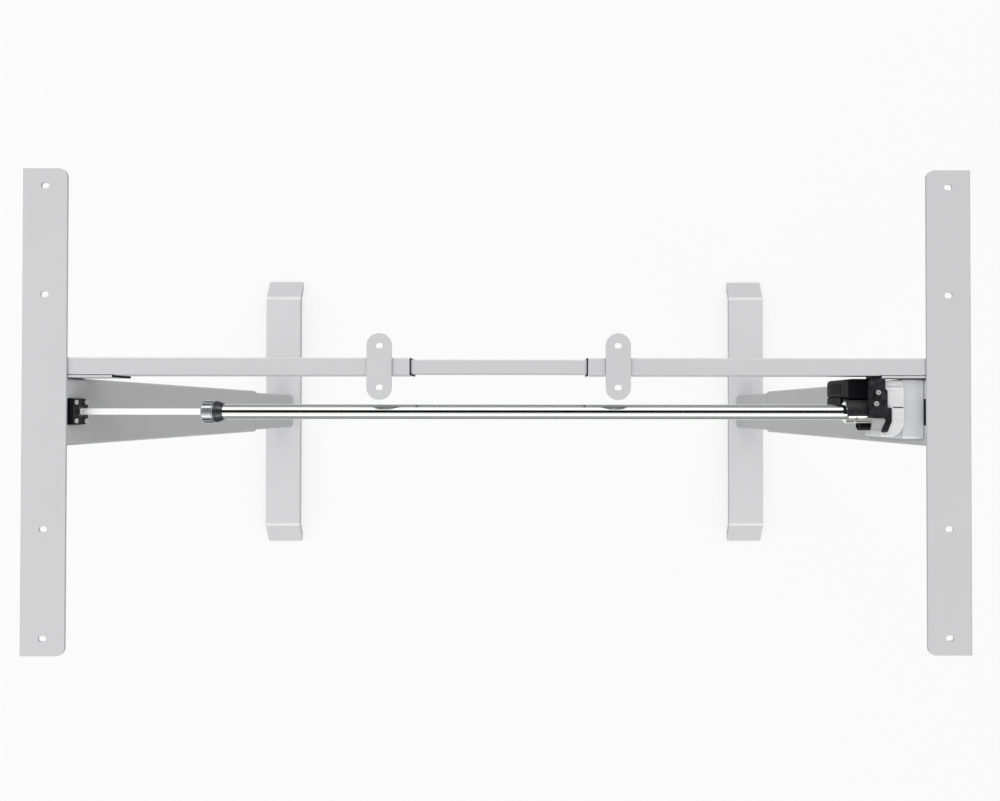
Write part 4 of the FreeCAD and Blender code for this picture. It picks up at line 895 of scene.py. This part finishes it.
def make_leveller(end, side):
    """A levelling foot: a soft pad, a hexagon for the spanner and a round stud."""
    node = f"leveller_{end}_{side}"
    low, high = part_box(node)
    centre = Vector(((low.x + high.x) / 2, (low.y + high.y) / 2, 0))
    radius = (high.x - low.x) / 2
    groove = radius - 0.8 * MM
    hexagon_radius, hexagon_low, stud_radius = 7 * MM, low.z + 4.6 * MM, 4 * MM
    profile = [(low.z, radius - 1.6 * MM), (low.z + 0.5 * MM, radius - 0.4 * MM), (low.z + 1.2 * MM, radius),
               (low.z + 2.2 * MM, radius), (low.z + 2.2 * MM, groove), (low.z + 3.0 * MM, groove),
               (low.z + 5 * MM, radius - 5 * MM)]
    pad = turned("pad", Z_AXIS, centre, profile, 64)
    soften(pad, 0.25 * MM)
    hexagon = turned("hexagon", Z_AXIS, centre,
                     [(hexagon_low, hexagon_radius), (low.z + 8 * MM, hexagon_radius)], 6)
    soften(hexagon, 0.3 * MM)
    stud = turned("stud", Z_AXIS, centre,
                  [(hexagon_low, stud_radius), (high.z - 0.8 * MM, stud_radius), (high.z, 3.2 * MM)], 48)
    bpy.ops.object.shade_smooth_by_angle(angle=math.radians(SMOOTH_ANGLE))
    return settle(joined([pad, hexagon, stud], f"levelling_foot_{end}_{side}"), node)


# ---------------------------------------------------------------- operators, one for each group of pieces
def settings():
    """The sizes set for this scene."""
    return bpy.context.scene.desk_frame_sizes


class DESKFRAME_OT_finishes(bpy.types.Operator):
    """Build every finish and give each part of the frame its own"""
    bl_idname = "deskframe.finishes"
    bl_label = "Finishes"

    def execute(self, context):
        build_finishes(context.scene.desk_frame_colours)
        for node, part in frame["nodes"].items():
            part.data.materials.clear()
            part.data.materials.append(FINISHES[SLOT_OF[node]])
        return {"FINISHED"}


class DESKFRAME_OT_feet(bpy.types.Operator):
    """Finish both channel feet and the bolts inside them"""
    bl_idname = "deskframe.feet"
    bl_label = "Feet"

    def execute(self, context):
        for side in SIDES:
            finished_copy("foot_" + side, settings().sheet_edge, 3, finish="foot_coat_lit")
            finished_copy("foot_bolts_" + side, settings().fine_edge)
        return {"FINISHED"}


class DESKFRAME_OT_levellers(bpy.types.Operator):
    """Model the four levelling feet"""
    bl_idname = "deskframe.levellers"
    bl_label = "Levelling Feet"

    def execute(self, context):
        for side in SIDES:
            for end in ENDS:
                make_leveller(end, side)
        return {"FINISHED"}


class DESKFRAME_OT_columns(bpy.types.Operator):
    """Finish the two telescoping columns and their guide rings"""
    bl_idname = "deskframe.columns"
    bl_label = "Columns"

    def execute(self, context):
        for side in SIDES:
            finished_copy("inner_column_" + side, settings().fine_edge)
            finished_copy("outer_column_" + side, settings().fine_edge)
            finished_copy("column_ring_" + side, settings().sheet_edge)
            finished_copy("lift_nut_" + side, settings().sheet_edge)
        return {"FINISHED"}


class DESKFRAME_OT_lead_screws(bpy.types.Operator):
    """Model the threaded screws inside the columns"""
    bl_idname = "deskframe.lead_screws"
    bl_label = "Lead Screws"

    def execute(self, context):
        for side in SIDES:
            make_lead_screw(side, settings())
        return {"FINISHED"}


class DESKFRAME_OT_brackets(bpy.types.Operator):
    """Finish the slotted side brackets"""
    bl_idname = "deskframe.brackets"
    bl_label = "Side Brackets"

    def execute(self, context):
        for side in SIDES:
            finished_copy("side_bracket_" + side, settings().sheet_edge, 3)
        return {"FINISHED"}


class DESKFRAME_OT_crossbar(bpy.types.Operator):
    """Finish the crossbar's tubes, sliding bar, collars, screws, sockets and support plates"""
    bl_idname = "deskframe.crossbar"
    bl_label = "Crossbar"

    def execute(self, context):
        finished_copy("crossbar_slider", settings().fine_edge)
        for side in SIDES:
            finished_copy("crossbar_tube_" + side, settings().fine_edge)
            finished_copy("crossbar_collar_" + side, settings().fine_edge)
            finished_copy("crossbar_screws_" + side, settings().fine_edge)
        for side in SIDES:
            finished_copy("socket_" + side, settings().sheet_edge)
            finished_copy("socket_cap_" + side, settings().fine_edge)
        for side in SIDES:
            finished_copy("support_plate_" + side, settings().sheet_edge, 3)
        return {"FINISHED"}


class DESKFRAME_OT_gearboxes(bpy.types.Operator):
    """Finish the two bevel gearboxes with the left one's cover and screws"""
    bl_idname = "deskframe.gearboxes"
    bl_label = "Bevel Gearboxes"

    def execute(self, context):
        for side in SIDES:
            finished_copy("gearbox_" + side, settings().cast_edge)
        finished_copy("gearbox_cover", settings().cast_edge, 3)
        finished_copy("gearbox_screws", settings().fine_edge)
        return {"FINISHED"}


class DESKFRAME_OT_drive_line(bpy.types.Operator):
    """Model the hexagon rod, the polished tube and the clamp between them"""
    bl_idname = "deskframe.drive_line"
    bl_label = "Drive Line"

    def execute(self, context):
        make_hex_rod(settings())
        make_drive_tube(settings())
        make_clamp_nut(settings())
        finished_copy("collet_sleeve", settings().fine_edge, finish="sleeve_metal")
        finished_copy("drive_hub", settings().fine_edge)
        return {"FINISHED"}


class DESKFRAME_OT_worm_case(bpy.types.Operator):
    """Finish the worm case, its mount on the column and its lid"""
    bl_idname = "deskframe.worm_case"
    bl_label = "Worm Case"

    def execute(self, context):
        finished_copy("gear_housing", settings().sheet_edge, finish="case_metal_lit")
        finished_copy("motor_mount", settings().cast_edge, 3)
        finished_copy("gear_lid", settings().fine_edge, finish="lid_paint_sheen")
        finished_copy("lid_fixings", settings().fine_edge)
        return {"FINISHED"}


class DESKFRAME_OT_motor(bpy.types.Operator):
    """Model the motor, its moulded cover and its cable socket"""
    bl_idname = "deskframe.motor"
    bl_label = "Motor"

    def execute(self, context):
        make_motor_can(settings())
        make_motor_cover(settings())
        make_connector()
        return {"FINISHED"}


# ---------------------------------------------------------------- studio
def make_floor(colour):
    """A pale floor that reads white and still takes the frame's shadow; metal shows its darker surround."""
    deselect_all()
    bpy.ops.mesh.primitive_grid_add(
        x_subdivisions=8, y_subdivisions=8, size=FLOOR_SIZE, location=(0, 0, -FLOOR_DROP))
    floor = bpy.context.active_object
    floor.name = "studio_floor"
    apply_place(floor)
    finish = bpy.data.materials.new("studio_floor")
    finish.use_nodes = True
    tree = finish.node_tree
    tree.nodes.clear()
    end = tree.nodes.new("ShaderNodeOutputMaterial")
    matt = tree.nodes.new("ShaderNodeBsdfDiffuse")
    matt.inputs["Color"].default_value = (*colour, 1.0)
    glow = tree.nodes.new("ShaderNodeEmission")
    glow.inputs["Color"].default_value = (*WHITE, 1.0)
    seen = tree.nodes.new("ShaderNodeMixShader")
    seen.inputs[0].default_value = FLOOR_GLOW
    dim = tree.nodes.new("ShaderNodeBsdfDiffuse")
    dim.inputs["Color"].default_value = (FLOOR_DARK, FLOOR_DARK, FLOOR_DARK, 1.0)
    parts = tree.nodes.new("ShaderNodeSeparateXYZ")
    tree.links.new(tree.nodes.new("ShaderNodeTexCoord").outputs["Object"], parts.inputs[0])
    out = add_math(tree, "ABSOLUTE", parts.outputs["Y"], 0.0)
    near = add_range(tree, out, *NEAR_WHITE, 1.0, 0.0)
    far = add_range(tree, out, *FAR_WHITE, 0.0, 1.0)
    path = tree.nodes.new("ShaderNodeLightPath")
    white = add_math(tree, "MAXIMUM", near, far)
    mirrored = add_math(tree, "MULTIPLY", path.outputs["Is Glossy Ray"], white)
    direct = add_math(tree, "MAXIMUM", path.outputs["Is Camera Ray"], path.outputs["Is Transmission Ray"])
    choice = tree.nodes.new("ShaderNodeMixShader")
    tree.links.new(matt.outputs[0], seen.inputs[1])
    tree.links.new(glow.outputs[0], seen.inputs[2])
    tree.links.new(add_math(tree, "MAXIMUM", direct, mirrored), choice.inputs[0])
    tree.links.new(dim.outputs[0], choice.inputs[1])
    tree.links.new(seen.outputs[0], choice.inputs[2])
    tree.links.new(choice.outputs[0], end.inputs["Surface"])
    floor.data.materials.append(finish)


def make_sky():
    """A white tent of light with a dark gap over the frame, white where it is seen directly."""
    world = bpy.data.worlds.new("studio_light")
    bpy.context.scene.world = world
    world.use_nodes = True
    tree = world.node_tree
    tree.nodes.clear()
    end = tree.nodes.new("ShaderNodeOutputWorld")
    direction = tree.nodes.new("ShaderNodeSeparateXYZ")
    tree.links.new(tree.nodes.new("ShaderNodeTexCoord").outputs["Generated"], direction.inputs[0])
    rise = add_range(tree, direction.outputs["Z"], *SKY_RISE)
    sideways = add_math(tree, "SUBTRACT", direction.outputs["Y"], GAP_CENTRE)
    across = add_math(tree, "ABSOLUTE", sideways, 0.0)
    along = add_math(tree, "ABSOLUTE", direction.outputs["X"], 0.0)
    beside = add_range(tree, across, *GAP_ACROSS, 0.0, 1.0)
    beyond = add_range(tree, along, *GAP_ALONG, 0.0, 1.0)
    gap = add_math(tree, "MAXIMUM", beside, beyond)
    level = add_math(tree, "MULTIPLY", rise, gap)
    light = tree.nodes.new("ShaderNodeBackground")
    tree.links.new(level, light.inputs["Strength"])
    plain = tree.nodes.new("ShaderNodeBackground")
    for shader in (light, plain):
        shader.inputs["Color"].default_value = (*WHITE, 1.0)
    path = tree.nodes.new("ShaderNodeLightPath")
    choice = tree.nodes.new("ShaderNodeMixShader")
    tree.links.new(path.outputs["Is Camera Ray"], choice.inputs[0])
    tree.links.new(light.outputs[0], choice.inputs[1])
    tree.links.new(plain.outputs[0], choice.inputs[2])
    tree.links.new(choice.outputs[0], end.inputs["Surface"])


def add_soft_lamp(name, place, size, power):
    """A rectangular soft lamp turned to face the top of the frame."""
    deselect_all()
    bpy.ops.object.light_add(type="AREA", location=place)
    lamp = bpy.context.active_object
    lamp.name = name
    aim = Vector((0, 0, CAD_HIGH.z)) - Vector(place)
    lamp.rotation_euler = aim.to_track_quat("-Z", "Y").to_euler()
    lamp.data.shape = "RECTANGLE"
    lamp.data.size, lamp.data.size_y = size
    lamp.data.energy = power
    lamp.visible_camera = False


def add_camera():
    """The camera looks almost straight down from above the middle of the frame."""
    deselect_all()
    bpy.ops.object.camera_add(location=CAMERA_PLACE, rotation=CAMERA_TURN)
    camera = bpy.context.active_object
    camera.name = "overhead_camera"
    camera.data.sensor_width = 36.0
    camera.data.lens = CAMERA_LENS
    camera.data.shift_x, camera.data.shift_y = CAMERA_SHIFT
    camera.data.clip_start = 0.05
    bpy.context.scene.camera = camera


class DESKFRAME_OT_studio(bpy.types.Operator):
    """Set the pale floor, the soft light and the camera"""
    bl_idname = "deskframe.studio"
    bl_label = "Studio"

    def execute(self, context):
        context.scene.view_settings.view_transform = "Standard"
        make_floor(tuple(context.scene.desk_frame_colours.floor))
        make_sky()
        for lamp in LAMPS:
            add_soft_lamp(*lamp)
        add_camera()
        return {"FINISHED"}


# ---------------------------------------------------------------- panel and registration
STEPS = (DESKFRAME_OT_finishes, DESKFRAME_OT_feet, DESKFRAME_OT_levellers, DESKFRAME_OT_columns,
         DESKFRAME_OT_lead_screws, DESKFRAME_OT_brackets, DESKFRAME_OT_crossbar, DESKFRAME_OT_gearboxes,
         DESKFRAME_OT_drive_line, DESKFRAME_OT_worm_case, DESKFRAME_OT_motor, DESKFRAME_OT_studio)


class DESKFRAME_PT_panel(bpy.types.Panel):
    """Lists the steps that finish the desk frame"""
    bl_idname = "DESKFRAME_PT_panel"
    bl_label = "Desk Frame"
    bl_space_type = "VIEW_3D"
    bl_region_type = "UI"
    bl_category = "Desk Frame"

    def draw(self, context):
        layout = self.layout
        for group in (context.scene.desk_frame_sizes, context.scene.desk_frame_colours):
            box = layout.box()
            for name in group.bl_rna.properties.keys():
                if name not in ("rna_type", "name"):
                    box.prop(group, name)
        column = layout.column(align=True)
        for step in STEPS:
            column.operator(step.bl_idname)


CLASSES = (DeskFrameSizes, DeskFrameColours, *STEPS, DESKFRAME_PT_panel)


def register():
    """Make the add-on's settings, steps and panel known."""
    for cls in CLASSES:
        bpy.utils.register_class(cls)
    bpy.types.Scene.desk_frame_sizes = PointerProperty(type=DeskFrameSizes)
    bpy.types.Scene.desk_frame_colours = PointerProperty(type=DeskFrameColours)


def unregister():
    """Take them away again."""
    del bpy.types.Scene.desk_frame_colours
    del bpy.types.Scene.desk_frame_sizes
    for cls in reversed(CLASSES):
        bpy.utils.unregister_class(cls)


def main():
    """Register the add-on and run its steps in order."""
    register()
    for step in STEPS:
        getattr(bpy.ops.deskframe, step.bl_idname.split(".")[1])()


if __name__ == "__main__":
    main()
